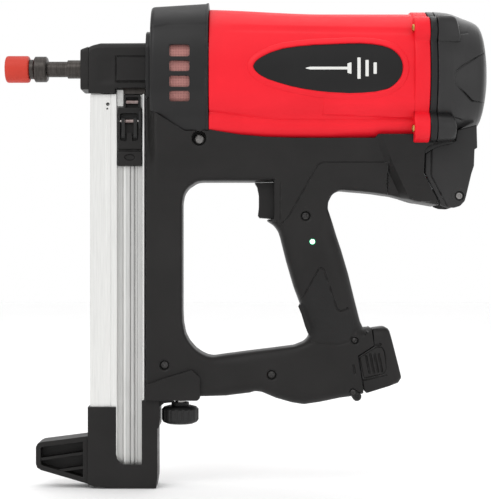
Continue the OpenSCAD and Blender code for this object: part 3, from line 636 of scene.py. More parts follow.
def side_of(P, line):
    """Distance to a polyline, positive to its +x side."""
    d = seg_dist(P, line)
    L = np.array(line)
    o = np.argsort(L[:, 1])
    xs_ = np.interp(P[:, 1], L[o, 1], L[o, 0])
    return np.where(P[:, 0] > xs_, d, -d)


def housing_h(P, d, left=True, raw=False):
    x, z = P[:, 0], P[:, 1]
    zt = [-300, -106, -98, -90, -80, -70, -62, -56, -50, -44, -40, -30]
    ht = [16.7, 16.9, 18.2, 20.6, 24.4, 28.8, 33.4, 35.8, 37.6, 39.4, 41.0, 43.0]
    wide = 0.4 * np.interp(z, zt, ht) + 0.3 * np.interp(z + 4, zt, ht) + 0.3 * np.interp(z - 4, zt, ht)
    front = sstep(x, 118.6, 129.0)
    h = 16.7 + (wide - 16.7) * front
    # gas bay: a raised block with a sloped front face
    sd = side_of(P, PANEL)
    bayz = np.interp(z, [-120, -100, -90, -80, -66, -58], [25.2, 25.6, 27.0, 29.6, 35.4, 38.4])
    on = (x > 296) & (z > -120)
    fl = np.where(on, np.clip((sd + 5.4) / 5.4, 0, 1), 0)
    h = np.where(on, h * (1 - fl) + np.maximum(h + 0.4, bayz) * fl, h)
    und = np.where((x > 262) & (x < 318), sstep(x, 262, 300) * sstep(z, -118, -104) * 2.2, 0)
    h = h + und * (1 - fl)
    # the grip swells in the palm, more toward its lower end
    g = (z < -118) & (z > -232) & (x > 205)
    h = h + np.where(g, 1.1 * np.exp(-((z + 168) / 28) ** 2), 0)
    # rounding toward the outline, radius by zone
    r = np.full(len(P), 4.5)
    grip = sstep(-z, 120, 142) * (1 - sstep(-z, 216, 234)) * sstep(x, 205, 212)
    r = r + 10.5 * grip
    bar = sstep(-z, 222, 244) * sstep(x, 150, 196)
    r = r + 6.5 * bar
    seam = sstep(z, -68, -62)
    r = r * (1 - seam) + 0.8 * seam
    r = np.where((x < 124) & (z < -40), np.minimum(r, 2.2), r)
    r = np.where((x > 338) & (z > -112), np.minimum(r, 0.9), r)
    r = np.where((x > 222) & (x < 229) & (z > -128) & (z < -94), np.minimum(r, 1.2), r)
    nb = (np.hypot(x - 300.5, z + 235) < 12) & (seg_dist(P, [(307.4, -230.6), (294.0, -239.4), (298.6, -268.4)]) < 8)
    r = np.where(seg_dist(P, [(305.2, -216.0), (307.4, -230.6), (294.0, -239.4), (298.6, -268.4)]) < d + 0.4, 0.8, r)
    t = np.clip(1 - d / r, 0, 1)
    h = h - r * 0.82 * (1 - np.sqrt(np.clip(1 - t * t, 0, 1)))
    if raw:
        return h
    h = h + groove(P, G_BORDER, 0.75, 0.6)
    h = h + groove(P, G_LAMBDA, 0.7, 0.75)
    # the fold under the grip
    df = seg_dist(P, G_FOLD)
    h = h - 0.9 * np.exp(-(df / 1.3) ** 2)
    # a narrow vertical step behind the trigger
    h = h + groove(P, [(229.6, -96.5), (229.6, -126.0)], 0.6, 0.5)
    if left:
        for (sx, sz, sr, sd_) in SCREWS:
            q = np.hypot(x - sx, z - sz)
            h = h - 0.6 * (1 - sstep(q, sr + 0.1, sr + 1.4))
            h = np.where(q < sr + 0.02, sd_, h)
        q = np.hypot(x - 256.2, z + 144.7)
        h = np.where(q < 2.75, 15.6, h)
        # short slot beside the battery
        h = h - 1.1 * (1 - sstep(seg_dist(P, [(290.4, -247.6), (291.4, -253.6)]), 0.4, 0.95))
    return h


lines = [G_BORDER, G_LAMBDA, G_FOLD, PANEL, [(306.2, -50), (306.2, -58.5), (316.4, -82.2), (331.6, -113)], [(229.6, -96.5), (229.6, -126.0)], [(290.4, -247.6), (291.4, -253.6)]]
for (sx, sz, sr, sd_) in SCREWS:
    lines.append(("closed", circ(sx, sz, sr + 0.05)))
lines.append(("closed", circ(256.2, -144.7, 2.8)))
GR = 1.5
for side, tag in ((-1, "left"), (1, "right")):
    me = relief("shell_" + tag, OUTLINE, [LOOPF], (lambda P, d, L=(side < 0): housing_h(P, d, L)), side=side, grid=GR, lines=lines)
    link(me, "shell_" + tag, "frame", "black_plastic", ["housing_" + tag], 32)


def pad_h(P, d):
    big = seg_dist(P, OUTLINE, True)
    big = np.minimum(big, seg_dist(P, LOOPF, True))
    base = housing_h(P, big, False, True)
    t = np.clip(1 - d / 0.9, 0, 1)
    # low lozenge pattern, fading out at the edges
    u = P[:, 0] * 0.955 + P[:, 1] * 0.297
    w = -P[:, 0] * 0.297 + P[:, 1] * 0.955
    tex = 0.10 * np.maximum(np.sin(u * 2.1 + w * 1.1), np.sin(u * 2.1 - w * 1.1)) * sstep(d, 1.5, 4.0)
    return base + 0.12 - 0.5 * (1 - np.sqrt(1 - t * t)) + tex


for side, tag in ((-1, "left"), (1, "right")):
    me = relief("grip_inlay_" + tag, PAD, [], pad_h, side=side, ybase=10.0, grid=0.9, edge=0.8, rings=(0.15, 0.4, 0.9))
    link(me, "grip_inlay_" + tag, "frame", "grip_rubber", ["grip_pad_" + tag], 40)

# status light: lens and its glowing ring
def lathe(name, prof, axis, at, n=40, closed=True):
    """prof is (along, radius) in mm, axis 'x' 'y' or 'z', at the centre line's other two coordinates."""
    V, F = [], []
    m = len(prof)
    for (a, r) in prof:
        for k in range(n):
            t = 2 * math.pi * k / n
            c, s = r * math.cos(t), r * math.sin(t)
            p = {"x": (a, at[0] + c, at[1] + s), "y": (at[0] + c, a, at[1] + s), "z": (at[0] + c, at[1] + s, a)}[axis]
            V.append(tuple(q * MM for q in p))
    rows = m if closed else m - 1
    for i in range(rows):
        j = (i + 1) % m
        for k in range(n):
            k2 = (k + 1) % n
            F.append((i * n + k, i * n + k2, j * n + k2, j * n + k))
    return mesh_from(V, F, name)


def solid_prof(pts, n=4):
    return pts


def screw(name, axis, at, y_face, r, matkey, body="frame", rep_nodes=(), rec=0.42, turn=20):
    """A pan head with a cross recess; y_face is where the head's crown is, on the -Y side, seen along +Y."""
    me = lathe(name, [(y_face + 2.6, 0.05), (y_face + 2.6, r * 0.98), (y_face + 1.0, r), (y_face + 0.45, r * 0.93), (y_face + 0.1, r * 0.7), (y_face, r * 0.45), (y_face, 0.05)], axis, at, 36)
    o = bpy.data.objects.new(name + "_t", me)
    bpy.context.scene.collection.objects.link(o)
    cu = []
    a = math.radians(turn)
    for k in range(2):
        c, s_ = math.cos(a + k * math.pi / 2), math.sin(a + k * math.pi / 2)
        L_, W_ = r * rec * 1.5, r * 0.19
        poly = [(at[0] + c * i * L_ - s_ * j * W_, at[1] + s_ * i * L_ + c * j * W_) for i, j in ((-1, -1), (1, -1), (1, 1), (-1, 1))]
        c_ = cutter(prism_y(poly, y_face - 1, y_face + 1.5, name + "_c%d" % k), name + "_c%d" % k)
        boolean(o, c_)
        cu.append(c_)
    dg_ = bpy.context.evaluated_depsgraph_get()
    m2 = bpy.data.meshes.new_from_object(o.evaluated_get(dg_))
    for c_ in cu + [o]:
        bpy.data.objects.remove(c_)
    return link(m2, name, body, matkey, rep_nodes, 35)


def cutter(me, name):
    o = bpy.data.objects.new(name, me)
    bpy.context.scene.collection.objects.link(o)
    return o


def prism_y(poly, y0, y1, name):
    V, F = [], []
    n = len(poly)
    for y in (y0, y1):
        V += [(p[0] * MM, y * MM, p[1] * MM) for p in poly]
    F.append(tuple(range(n)))
    F.append(tuple(range(2 * n - 1, n - 1, -1)))
    for k in range(n):
        k2 = (k + 1) % n
        F.append((k, k2, n + k2, n + k))
    return mesh_from(V, F, name)


def boolean(o, cut, op="DIFFERENCE"):
    m = o.modifiers.new("b", "BOOLEAN")
    m.operation = op
    m.solver = "EXACT"
    m.object = cut


for i, (sx, sz, sr, sd_) in enumerate(SCREWS):
    screw("case_screw_%d" % (i + 1), "y", (sx, sz), -(sd_ + (2.2 if i == 0 else 1.6)), sr - (1.5 if i == 0 else 0.9), "screw_bright" if i == 0 else "screw_steel",
          rep_nodes=["housing_screws"] if i == 0 else (), turn=15 + 37 * i)

lens = lathe("lens", [(-15.0, 0.02), (-15.0, 1.9), (-16.9, 1.9), (-17.35, 1.55), (-17.55, 0.9), (-17.6, 0.02)], "y", (256.2, -144.7), 28)
link(lens, "status_lens", "frame", "led", ["status_led"], 50)
ring = lathe("ring", [(-15.6, 1.95), (-16.7, 1.95), (-16.9, 2.2), (-16.8, 2.7), (-15.6, 2.72)], "y", (256.2, -144.7), 32)
link(ring, "status_ring", "frame", "led_ring", (), 50)

# ------------------------------------------------------------------ shroud
BADGE = fillet([(206.4, -3.2, 3), (208.4, 0.6), (213, 4.2), (221, 8.2), (231, 11.4), (243, 13.2), (256, 14.4), (270, 15), (284, 15.6), (294, 15.7), (304, 15), (312, 13.6),
    (319, 11.2), (324, 6.9), (327.2, 1.9), (328.3, -4.5), (327, -11.5), (323, -17.2), (316.5, -21.8), (306, -24.5), (295, -25.6), (284, -25.9), (268, -25), (258, -23.8),
    (248, -22), (237, -19.8), (227.6, -17.2), (219, -14.3), (212.5, -11), (208.2, -7.2)], 20, 3)
BADGE_A = np.array(BADGE)


def top_rise(x):
    return 3.9 * (1 - sstep(np.asarray(x, float), 160, 268))


NS = 150
CREASE = [(171, -40.0), (200, -43.6), (230, -46.4), (262, -46.6), (338, -46.0)]
RAISED = [(263.4, -34.0), (263.4, -39.6), (266.0, -41.6), (300, -42.6), (338, -44.2)]


def shroud_sec(x, grow=0.0):
    half = half_section(46 + grow, 52 + grow, HZ)
    s = full(half, NS)
    up = np.clip((s[:, 1] - 6) / 36, 0, 1) ** 2
    s[:, 1] += top_rise(x) * up
    return s


def shroud_disp(x, s):
    side = (np.abs(s[:, 0]) > 24)
    z = s[:, 1]
    zc = np.interp(x, [c[0] for c in CREASE], [c[1] for c in CREASE])
    # crease above the flared lower band
    v = -1.1 * np.exp(-((z - zc) / 1.3) ** 2) + 0.9 * sstep(zc - z, 0.5, 5.0)
    # raised field behind x = 263, its lower edge a step
    ze = np.interp(x, [c[0] for c in RAISED[2:]], [c[1] for c in RAISED[2:]])
    ra = sstep(np.array([x]), 262.6, 264.4)[0]
    v = v + 1.15 * ra * sstep(z - ze, -0.5, 0.5) * (1 - sstep(z, -34, -26.5))
    # long soft ridge along the upper side
    ux = sstep(np.array([x]), 174, 204)[0]
    zr = 30.6 - 3.0 * (x - 171) / 166
    v = v + 0.55 * ux * sstep(z - zr, -0.9, 0.9) - 0.35 * ux * np.exp(-((z - zr + 3.0) / 1.6) ** 2)
    return v * side


def stations(a, b, step, extra=()):
    xs = list(np.arange(a, b, step)) + [b] + list(extra)
    return sorted(set(round(float(v), 3) for v in xs))


xs = stations(170.9, 337.6, 1.5, (171.05, 171.3, 171.6, 262.4, 262.9, 263.3, 263.7, 264.1, 264.6))


def shroud_in(x):
    return shroud_sec(x, -3.0)


def front_round(x, x0=170.9, r=0.9):
    t = max(0.0, 1 - (x - x0) / r)
    return -0.9 * (1 - math.sqrt(max(0, 1 - t * t)))


me = loft("shroud_skin", xs, shroud_sec, lambda x, s: shroud_disp(x, s) + front_round(x), inner=shroud_in)
link(me, "shroud_skin", "frame", "red_plastic", ["shroud"], 30)


# the rim that stands round each badge: a bead swept along the badge outline
def on_side(x, z):
    """Half width of the finished shroud side at (x, z)."""
    x, z = np.asarray(x, float), np.asarray(z, float)
    rise = top_rise(x) * np.clip((z - 6) / 36, 0, 1) ** 2
    return side_y(z - rise)


def bead(name, outline, prof, side):
    L = resample(outline, 1.1)
    if area(L) < 0:
        L = L[::-1]
    t = np.roll(L, -1, 0) - np.roll(L, 1, 0)
    t /= np.linalg.norm(t, axis=1)[:, None]
    nn_ = np.stack([t[:, 1], -t[:, 0]], 1)
    V, F = [], []
    n, m = len(L), len(prof)
    for (o_, h_) in prof:
        q = L + nn_ * o_
        y = on_side(q[:, 0], q[:, 1]) + h_
        V += [(a[0] * MM, side * b * MM, a[1] * MM) for a, b in zip(q, y)]
    for i in range(m):
        j = (i + 1) % m
        for k in range(n):
            k2 = (k + 1) % n
            F.append((i * n + k, i * n + k2, j * n + k2, j * n + k))
    return mesh_from(V, F, name)


RIM = [(-0.1, -1.4), (0.0, 0.5), (0.25, 0.95), (0.7, 1.2), (1.5, 1.25), (2.3, 1.1), (3.0, 0.85), (3.7, 0.7), (4.3, 0.55), (4.7, 0.25), (4.8, -0.1), (5.0, -0.9), (5.0, -1.6)]


# flange outlines: a rounded square with four screw lobes
def lobe_R(theta, a, b, lr=12.2, n=2.2):
    c, s = np.cos(theta), np.sin(theta)
    base = (np.abs(c / a) ** n + np.abs(s / b) ** n) ** (-1 / n)
    R = base.copy()
    for cy, cz in ((36, 26), (-36, 26), (36, -52), (-36, -52)):
        px, pz = cy, cz - HZ
        along = c * px + s * pz
        perp2 = px * px + pz * pz - along ** 2
        ok = (perp2 < lr * lr) & (along > 0)
        rr = np.where(ok, along + np.sqrt(np.clip(lr * lr - perp2, 0, None)), 0)
        # soft union
        k = 1.6
        hmix = np.clip(0.5 + 0.5 * (rr - R) / k, 0, 1)
        R = np.where(ok, R * (1 - hmix) + rr * hmix + k * hmix * (1 - hmix) * 0.5, R)
    return R


TH = np.radians(np.linspace(0, 360, 361)[:-1])


def lobed(grow, a, b):
    R = lobe_R(TH, a, b) + grow
    return np.stack([R * np.cos(TH), HZ + R * np.sin(TH)], 1)


def plate(name, x0, x1, a, b, r, hole_r=38.4, hole_z=0.0, bulge=0.0):
    st = [(x0, -r), (x0 + 0.15 * r, -0.55 * r), (x0 + 0.5 * r, -0.16 * r), (x0 + r, 0), (x1 - r, 0), (x1 - 0.5 * r, -0.16 * r), (x1 - 0.15 * r, -0.55 * r), (x1, -r)]
    V, F = [], []
    n = len(TH)
    for x, g in st:
        V += [(x * MM, p[0] * MM, p[1] * MM) for p in lobed(g, a, b)]
    m = len(st)
    for i in range(m - 1):
        for k in range(n):
            F.append((i * n + k, i * n + (k + 1) % n, (i + 1) * n + (k + 1) % n, (i + 1) * n + k))
    base = len(V)
    for x in (x0, x1):
        V += [(x * MM, hole_r * math.cos(t) * MM, (hole_z + hole_r * math.sin(t)) * MM) for t in TH]
    for k in range(n):
        k2 = (k + 1) % n
        F.append((k, base + k, base + k2, k2))
        F.append(((m - 1) * n + k, (m - 1) * n + k2, base + n + k2, base + n + k))
        F.append((base + k, base + n + k, base + n + k2, base + k2))
    return mesh_from(V, F, name)


link(plate("shroud_flange", 337.3, 350.0, 49, 54, 1.3), "shroud_flange", "frame", "red_plastic", (), 40)
link(plate("ring_plate", 350.3, 355.8, 49.2, 54.2, 0.7), "ring_plate", "frame", "cover_black", ["head_ring"], 40)
# brass insert ends at the flange's front
for sy in (-1, 1):
    for zz in (27, -52):
        pr = [(335.7, 1.9), (335.7, 2.7), (336.1, 3.1), (345, 3.1), (345, 1.9)]
        link(lathe("insert", pr, "x", (sy * 42.5, zz + (1 if zz > 0 else -1)), 24), "insert_%s_%d" % ("l" if sy < 0 else "r", 1 if zz > 0 else 2), "frame", "brass", ["shroud_inserts"] if (sy < 0 and zz > 0) else (), 40)

# badge plates and their plain emblem
def badge_h(P, d):
    t = np.clip(1 - d / 1.0, 0, 1)
    return on_side(P[:, 0], P[:, 1]) + 0.35 - 0.55 * (1 - np.sqrt(1 - t * t)) + 0.35 * sstep(d, 0, 12)


INB = []
ctr = BADGE_A.mean(0)
t_ = np.roll(BADGE_A, -1, 0) - np.roll(BADGE_A, 1, 0)
t_ /= np.linalg.norm(t_, axis=1)[:, None]
nn = np.stack([-t_[:, 1], t_[:, 0]], 1)
if area(BADGE) < 0:
    nn = -nn
BIN = [tuple(p) for p in BADGE_A + nn * 0.22]
for side, tag in ((-1, "left"), (1, "right")):
    link(bead("badge_rim_" + tag, BADGE, RIM, side), "badge_rim_" + tag, "frame", "red_plastic", (), 40)
    me = relief("badge_" + tag, BIN, [], badge_h, side=side, ybase=37.0, grid=1.8, edge=1.1, rings=(0.15, 0.45, 0.9, 1.4))
    link(me, "badge_" + tag, "frame", "badge_black", ["badges"] if side < 0 else (), 40)

    def mark(nm, poly, side=side, tag=tag):
        poly = fillet(poly, 0.5, 3)

        def hf(P, d):
            big = seg_dist(P, BIN, True)
            t = np.clip(1 - d / 0.3, 0, 1)
            return badge_h(P, big) + 0.22 - 0.12 * t * t
        me = relief(nm + tag, poly, [], hf, side=side, ybase=38.0, grid=1.0, edge=0.6, rings=(0.15, 0.35))
        link(me, nm + tag, "frame", "white_print", (), 50)

    # a plain nail, point to the front, and three graded bars behind it
    mark("mark_nail_", [(248, -5), (253, -3.9), (283, -3.9), (283, -1.2, 0.3), (286.2, -0.2), (286.2, -9.8), (283, -8.8, 0.3), (283, -6.1), (253, -6.1)])
    for i, (xa, hh) in enumerate(((291, 8.6), (297.5, 6.6), (304, 4.6))):
        mark("mark_bar%d_" % i, [(xa, -5 + hh), (xa + 2.6, -5 + hh), (xa + 2.6, -5 - hh), (xa, -5 - hh)])

# ------------------------------------------------------------------ front cover
def cover_sec(x, grow=0.0):
    f = (x - 123.2) / 47.2
    half = half_section(46 + grow, 54 + grow, HZ + 1, top=3.0 + 3.0 * f)
    return full(half, NS)


def cover_shift(x):
    # rounded front edge
    r = 3.2
    t = max(0.0, 1 - (x - 123.2) / r)
    return -r * 0.8 * (1 - math.sqrt(max(0, 1 - t * t)))


def cover_disp(x, s):
    base = np.full(len(s), cover_shift(x))
    # raised ledge along the upper side
    lz = np.interp(x, [123, 139, 171], [28.6, 32.0, 32.0])
    side = np.abs(s[:, 0]) > 20
    base = base + side * 0.9 * sstep(s[:, 1], lz - 0.7, lz + 0.7)
    # slim rear lip
    base = base + 0.5 * sstep(np.array([x]), 168.2, 168.8)[0]
    return base


cx = sorted(set([123.2, 123.35, 123.7, 124.3, 125.2, 126.3, 127.2, 168.2, 168.5, 168.8, 170.1, 170.4] + list(np.arange(128, 168, 2.0))))
cme = loft("cover_body", cx, cover_sec, cover_disp)
cover = bpy.data.objects.new("cover_body", cme)
bpy.context.scene.collection.objects.link(cover)


def box_me(a, b, name):
    return prism_y([(a[0], a[2]), (b[0], a[2]), (b[0], b[2]), (a[0], b[2])], a[1], b[1], name)


# hollow, open at the rear; front opening for the nose; windows; lower edge along the diagonal
inner_me = loft("cover_in", [126.2, 175.0], lambda x: cover_sec(max(x, 130), -3.2))
cuts = [cutter(inner_me, "c_in"),
        cutter(box_me((120, -16, -17.2), (130, 16, 20), "c_nose"), "c_nose"),
        cutter(prism_y([(119, -37.4), (123.2, -37.4), (151.5, -54.55), (173, -54.55), (173, -75), (119, -75)], -60, 60, "c_low"), "c_low")]
for i, (z0, z1) in enumerate(((4.6, 14.5), (-7.3, 1.5), (-20.0, -10.8), (-31.4, -23.0))):
    w = fillet([(139.2, z0), (155.6, z0), (155.6, z1), (139.2, z1)], 2.2, 4)
    cuts.append(cutter(prism_y(w, -60, 60, "c_w%d" % i), "c_w%d" % i))
for c in cuts:
    boolean(cover, c)
bv = cover.modifiers.new("ease", "BEVEL")
bv.width = 0.5 * MM
bv.segments = 2
bv.limit_method = "ANGLE"
bv.angle_limit = math.radians(50)
dg = bpy.context.evaluated_depsgraph_get()
cm2 = bpy.data.meshes.new_from_object(cover.evaluated_get(dg))
for c in cuts + [cover]:
    bpy.data.objects.remove(c)
link(cm2, "front_grille", "frame", "cover_black", ["front_cover"], 35)
# screens set in behind the windows
def screen_h(P, d):
    return side_y(P[:, 1], 46 - 3.4, 50.6, HZ + 1)


for side, tag in ((-1, "left"), (1, "right")):
    me = relief("screen_" + tag, [(136.5, -34), (158.5, -34), (158.5, 17), (136.5, 17)], [], screen_h, side=side, ybase=38.0, grid=2.0, rings=())
    link(me, "screen_" + tag, "frame", "screen", ["filter_screens"] if side < 0 else (), 60)
# small catch on top of the cover
nub = loft("nub", [160.6, 161.2, 165.4, 166.0], lambda x: np.array([(5 * c_, 53.0 + z_) for c_, z_ in ((-1, -3), (-1, 0.2), (-0.9, 0.7), (0.9, 0.7), (1, 0.2), (1, -3))]) * np.array([1 if 161 < x < 165.6 else 0.9, 1]) + np.array([0, -0.35 if not 161 < x < 165.6 else 0]))
link(nub, "cover_catch", "frame", "cover_black", (), 30)

# ------------------------------------------------------------------ rear cap
PROF = [(356.0, -0.8), (356.15, -0.2), (356.6, 0.1), (362.0, -0.1), (368.0, -0.6), (372.0, -1.5), (377.0, -3.2), (381.0, -4.8), (385.0, -6.2), (388.5, -7.6), (391.6, -9.2), (393.8, -11.2), (395.4, -14.0),
        (396.6, -17.4), (397.8, -22.0), (399.0, -27.5), (400.2, -33.5), (401.1, -39.5), (401.8, -46.0), (402.2, -51.0), (402.36, -53.6)]
CHEV_U = [(404, 14.0), (389.4, 6.0), (375.1, -3.4), (369.9, -8.0)]
CHEV_M = [(369.9, -8.0), (368.9, -13.0), (369.4, -17.4)]
CHEV_L = [(369.4, -17.4), (372.4, -20.6), (384.4, -30.6), (404, -32.0)]
CHEV_IN = [(369.9, -8.0), (375.1, -3.4), (389.4, 6.0), (404, 14.0), (404, -32.0), (384.4, -30.6), (372.4, -20.6), (369.4, -17.4), (368.9, -13.0)]
TC = np.radians(np.linspace(0, 360, 601)[:-1])


def cap_ring(x, g):
    c, s = np.cos(TC), np.sin(TC)
    R0 = (np.abs(c / 50.6) ** 2.2 + np.abs(s / 54.2) ** 2.2) ** (-1 / 2.2)
    R0 = R0 + (52.6 - R0) * min(1.0, max(0.0, (x - 356) / 22)) * 0.4
    R = np.maximum(R0 + g, 0.35)
    y, z = R * c, HZ + R * s
    P = np.stack([np.full(len(TC), x), z], 1)
    side = np.abs(y) > 15
    lift = np.zeros(len(TC))
    if x < 398:
        du = seg_dist(P, CHEV_U)
        dl = seg_dist(P, CHEV_L)
        ins = inside(P, CHEV_IN)
        per = np.minimum(np.minimum(du, dl), seg_dist(P, CHEV_M))
        # the field behind the chevron sinks from its upper edge and stands proud at its lower edge
        field = np.where(ins, sstep(per, 0.0, 1.4), 0.0)
        lift = np.where(ins, sstep(per, 0.0, 0.9), 0.0) * (-1.4 + 0.09 * (x - 370) - 0.07 * (z + 12)) * side * sstep(np.array([398.5 - x]), 0, 7)[0]
        lift = lift - (0.6 * np.exp(-(per / 0.55) ** 2) + 1.3 * np.exp(-(du / 0.65) ** 2) * (x > 370.5) + 0.7 * np.exp(-(dl / 0.65) ** 2) * (x < 386)) * side * sstep(np.array([398.5 - x]), 0, 7)[0]
        # soft grooves that run to the bosses
        for ln in ([(356, 21.6), (368, 22.6), (381, 25.2)], [(356, -42.6), (366, -43.4), (377, -46.0)]):
            dd = seg_dist(P, ln)
            lift = lift - 0.7 * np.exp(-(dd / 0.7) ** 2) * side
    R2 = R + lift
    return np.stack([R2 * c, HZ + R2 * s], 1)


V, F = [], []
dense = []
for (xa, ga), (xb, gb) in zip(PROF[:-1], PROF[1:]):
    k = max(1, int((xb - xa) / (0.7)))
    for i in range(k):
        dense.append((xa + (xb - xa) * i / k, ga + (gb - ga) * i / k))
dense.append(PROF[-1])
n = len(TC)
for x, g in dense:
    V += [(x * MM, p[0] * MM, p[1] * MM) for p in cap_ring(x, g)]
for i in range(len(dense) - 1):
    for k in range(n):
        F.append((i * n + k, i * n + (k + 1) % n, (i + 1) * n + (k + 1) % n, (i + 1) * n + k))
F.append(tuple(range((len(dense) - 1) * n, len(dense) * n)))
base = len(V)
for x in (356.0, 358.4):
    V += [(x * MM, 40 * math.cos(t) * MM, (HZ + 40 * math.sin(t)) * MM) for t in TC]
for k in range(n):
    k2 = (k + 1) % n
    F.append((k, k2, base + k2, base + k))
    F.append((base + k, base + k2, base + n + k2, base + n + k))
F.append(tuple(range(base + n, base + 2 * n))[::-1])
link(mesh_from(V, F, "rear_dome"), "rear_dome", "frame", "cap_black", ["rear_cap"], 32)


def boss(name, sy, cz, x1, up):
    """A screw boss that runs back over the cap; the upper pair are square shouldered, the lower pair round."""
    A = np.radians(np.linspace(0, 360, 65)[:-1])
    st = [(356.05, -0.3), (356.4, 0.15), (358, 0.2), (x1 - 5, -0.2), (x1 - 2.0, -0.9), (x1 - 0.7, -1.7), (x1, -3.0)]
    rings_ = []
    for x, g in st:
        if up:
            n_ = 3.4
            lean = 0.0
            rr = 12.4 + g
            R = (np.abs(np.cos(A)) ** n_ + np.abs(np.sin(A)) ** n_) ** (-1 / n_) * rr
        else:
            lean = 0
            R = np.full(len(A), 12.0 + g)
        rings_.append(np.stack([sy * (36.3 + R * np.cos(A)), cz + R * np.sin(A) - lean], 1))
    V, F = [], []
    n_ = len(A)
    for (x, g), rg in zip(st, rings_):
        w_ = max(0.0, (x - 358) / (x1 - 358))
        V += [((x - (w_ * max(0.0, q[1] - cz + 11) * 0.2 if up else w_ * max(0.0, q[1] - cz) * 0.16)) * MM, q[0] * MM, q[1] * MM) for q in rg]
    # screw well in the end face
    for x, r_ in ((x1 - (2.4 if up else 0), 4.9), (x1 - 6.6, 4.7)):
        V += [(x * MM, (sy * 37 + sy * r_ * math.cos(a)) * MM, (cz + (1 if up else 0) + r_ * math.sin(a)) * MM) for a in A]
    m_ = len(st) + 2
    for i in range(m_ - 1):
        for k in range(n_):
            F.append((i * n_ + k, i * n_ + (k + 1) % n_, (i + 1) * n_ + (k + 1) % n_, (i + 1) * n_ + k))
    F.append(tuple(range((m_ - 1) * n_, m_ * n_)))
    F.append(tuple(range(n_))[::-1])
    link(mesh_from(V, F, name), name, "frame", "cap_black", (), 40)


for sy in (-1, 1):
    boss("cap_boss_u%s" % ("l" if sy < 0 else "r"), sy, 26.4, 375.4, True)
    boss("cap_boss_d%s" % ("l" if sy < 0 else "r"), sy, -52.0, 371.4, False)

# ------------------------------------------------------------------ gas bay door
DOOR = fillet([(348.3, -72.6, 0.6), (348.3, -88.8, 2), (360.4, -111.8, 2), (361.4, -115.0, 1.5), (366, -116.6), (372.4, -116.9), (377.2, -115.4, 3), (380.9, -111.4, 3), (382.8, -104.4, 3),
    (386.4, -89.2, 3), (388.6, -82.4, 2), (389.1, -69.0, 0.6), (391.3, -67.6, 0.6), (390.8, -48.6, 0.6), (374.3, -53.0, 0.8), (373.2, -61.6, 0.8), (368, -63.2), (360, -65), (355.2, -67.2, 1)], 4, 3)
L2 = [(353.4, -68.6), (353.4, -90.2), (366.4, -115.4)]
HUB = (376.4, -107.2)


def door_h(P, d):
    x, z = P[:, 0], P[:, 1]
    t = np.clip(1 - d / 1.3, 0, 1)
    h = 25.4 - 1.1 * (1 - np.sqrt(1 - t * t))
    h = h + groove(P, L2, 0.6, 0.7)
    h = h + 0.5 * sstep(side_of(P, L2), 0.2, 1.6) * (seg_dist(P, L2) < 60)
    # hinge hub: a proud ring round a sunk seat
    q = np.hypot(x - HUB[0], z - HUB[1])
    h = h + 0.55 * sstep(6.2 - q, -0.35, 0.35)
    h = np.where(q < 4.0, 24.0, h)
    # small lug at the lower front
    dl = seg_dist(P, [(363.4, -104.6), (364.4, -111.8)])
    h = h + 0.9 * sstep(1.9 - dl, -0.3, 0.3)
    return np.minimum(h, 26.2)


# door cheeks in the lighter black, whose extra lightness is painted light
for side, tag in ((-1, "left"), (1, "right")):
    me = relief("door_" + tag, DOOR, [], door_h, side=side, ybase=22.4, grid=1.6, edge=0.8, rings=(0.15, 0.4, 0.8, 1.3),
                lines=[L2, ("closed", circ(HUB[0], HUB[1], 4.05)), ("closed", circ(HUB[0], HUB[1], 6.2, 36)), [(363.4, -104.6), (364.4, -111.8)]])
    link(me, "door_cheek_" + tag, "gas_door", "door_black", ["gas_door"] if side < 0 else (), 34)
# the back wall of the door, curved with it, in the same lighter black whose extra lightness is painted light
wall_o = [(391.1, -67.6), (389.0, -69.0), (388.5, -82.4), (386.3, -89.2), (382.7, -104.4), (381.6, -109.4)]
wall_i = [(379.6, -109.6), (380.6, -104.0), (384.0, -88.6), (386.0, -82.0), (386.4, -67.0), (388.8, -66.0)]
st_ = [(-22.6, 0), (-21, 0), (0, 0), (21, 0), (22.6, 0)]
V, F = [], []
ring_ = wall_o + wall_i
for y_, g_ in st_:
    V += [(q[0] * MM, y_ * MM, q[1] * MM) for q in ring_]
nr = len(ring_)
for i in range(len(st_) - 1):
    for k in range(nr):
        F.append((i * nr + k, i * nr + (k + 1) % nr, (i + 1) * nr + (k + 1) % nr, (i + 1) * nr + k))
F.append(tuple(range(nr)))
F.append(tuple(range((len(st_) - 1) * nr, len(st_) * nr))[::-1])
link(mesh_from(V, F, "door_back"), "door_back", "gas_door", "door_black", (), 34)
# hub screws with a round sunk socket
for side, tag in ((-1, "left"), (1, "right")):
    me = lathe("hub", [(side * 22.6, 0.05), (side * 22.6, 2.8), (side * 25.0, 2.9), (side * 25.35, 2.55), (side * 25.4, 1.55), (side * 24.3, 1.45), (side * 24.3, 0.05)], "y", HUB, 24)
    link(me, "hub_screw_" + tag, "frame", "screw_bright", ["gas_door_pin"] if side < 0 else (), 32)
# lip of the cap over the top edge of the door
for side, tag in ((-1, "left"), (1, "right")):
    me = relief("lip_" + tag, [(345.0, -72.6), (348.6, -72.4), (352.4, -70.0), (357, -67.6), (362, -65.9), (370.4, -64.0), (370.4, -56), (345.0, -56)], [], lambda P, d: 28.6 - 0.8 * (1 - np.sqrt(1 - np.clip(1 - d / 0.8, 0, 1) ** 2)), side=side, ybase=26.4, grid=2.2, rings=(0.3, 0.8))
    link(me, "cap_lip_" + tag, "frame", "cover_black", (), 34)

# ------------------------------------------------------------------ battery: end cap and latch button
TB = math.radians(14)
BC = np.array([325.0, -239.4])


def batt_uv(P):
    """Along the pack and across it."""
    q = P - BC
    return q[:, 0] * math.cos(TB) + q[:, 1] * math.sin(TB), -q[:, 0] * math.sin(TB) + q[:, 1] * math.cos(TB)


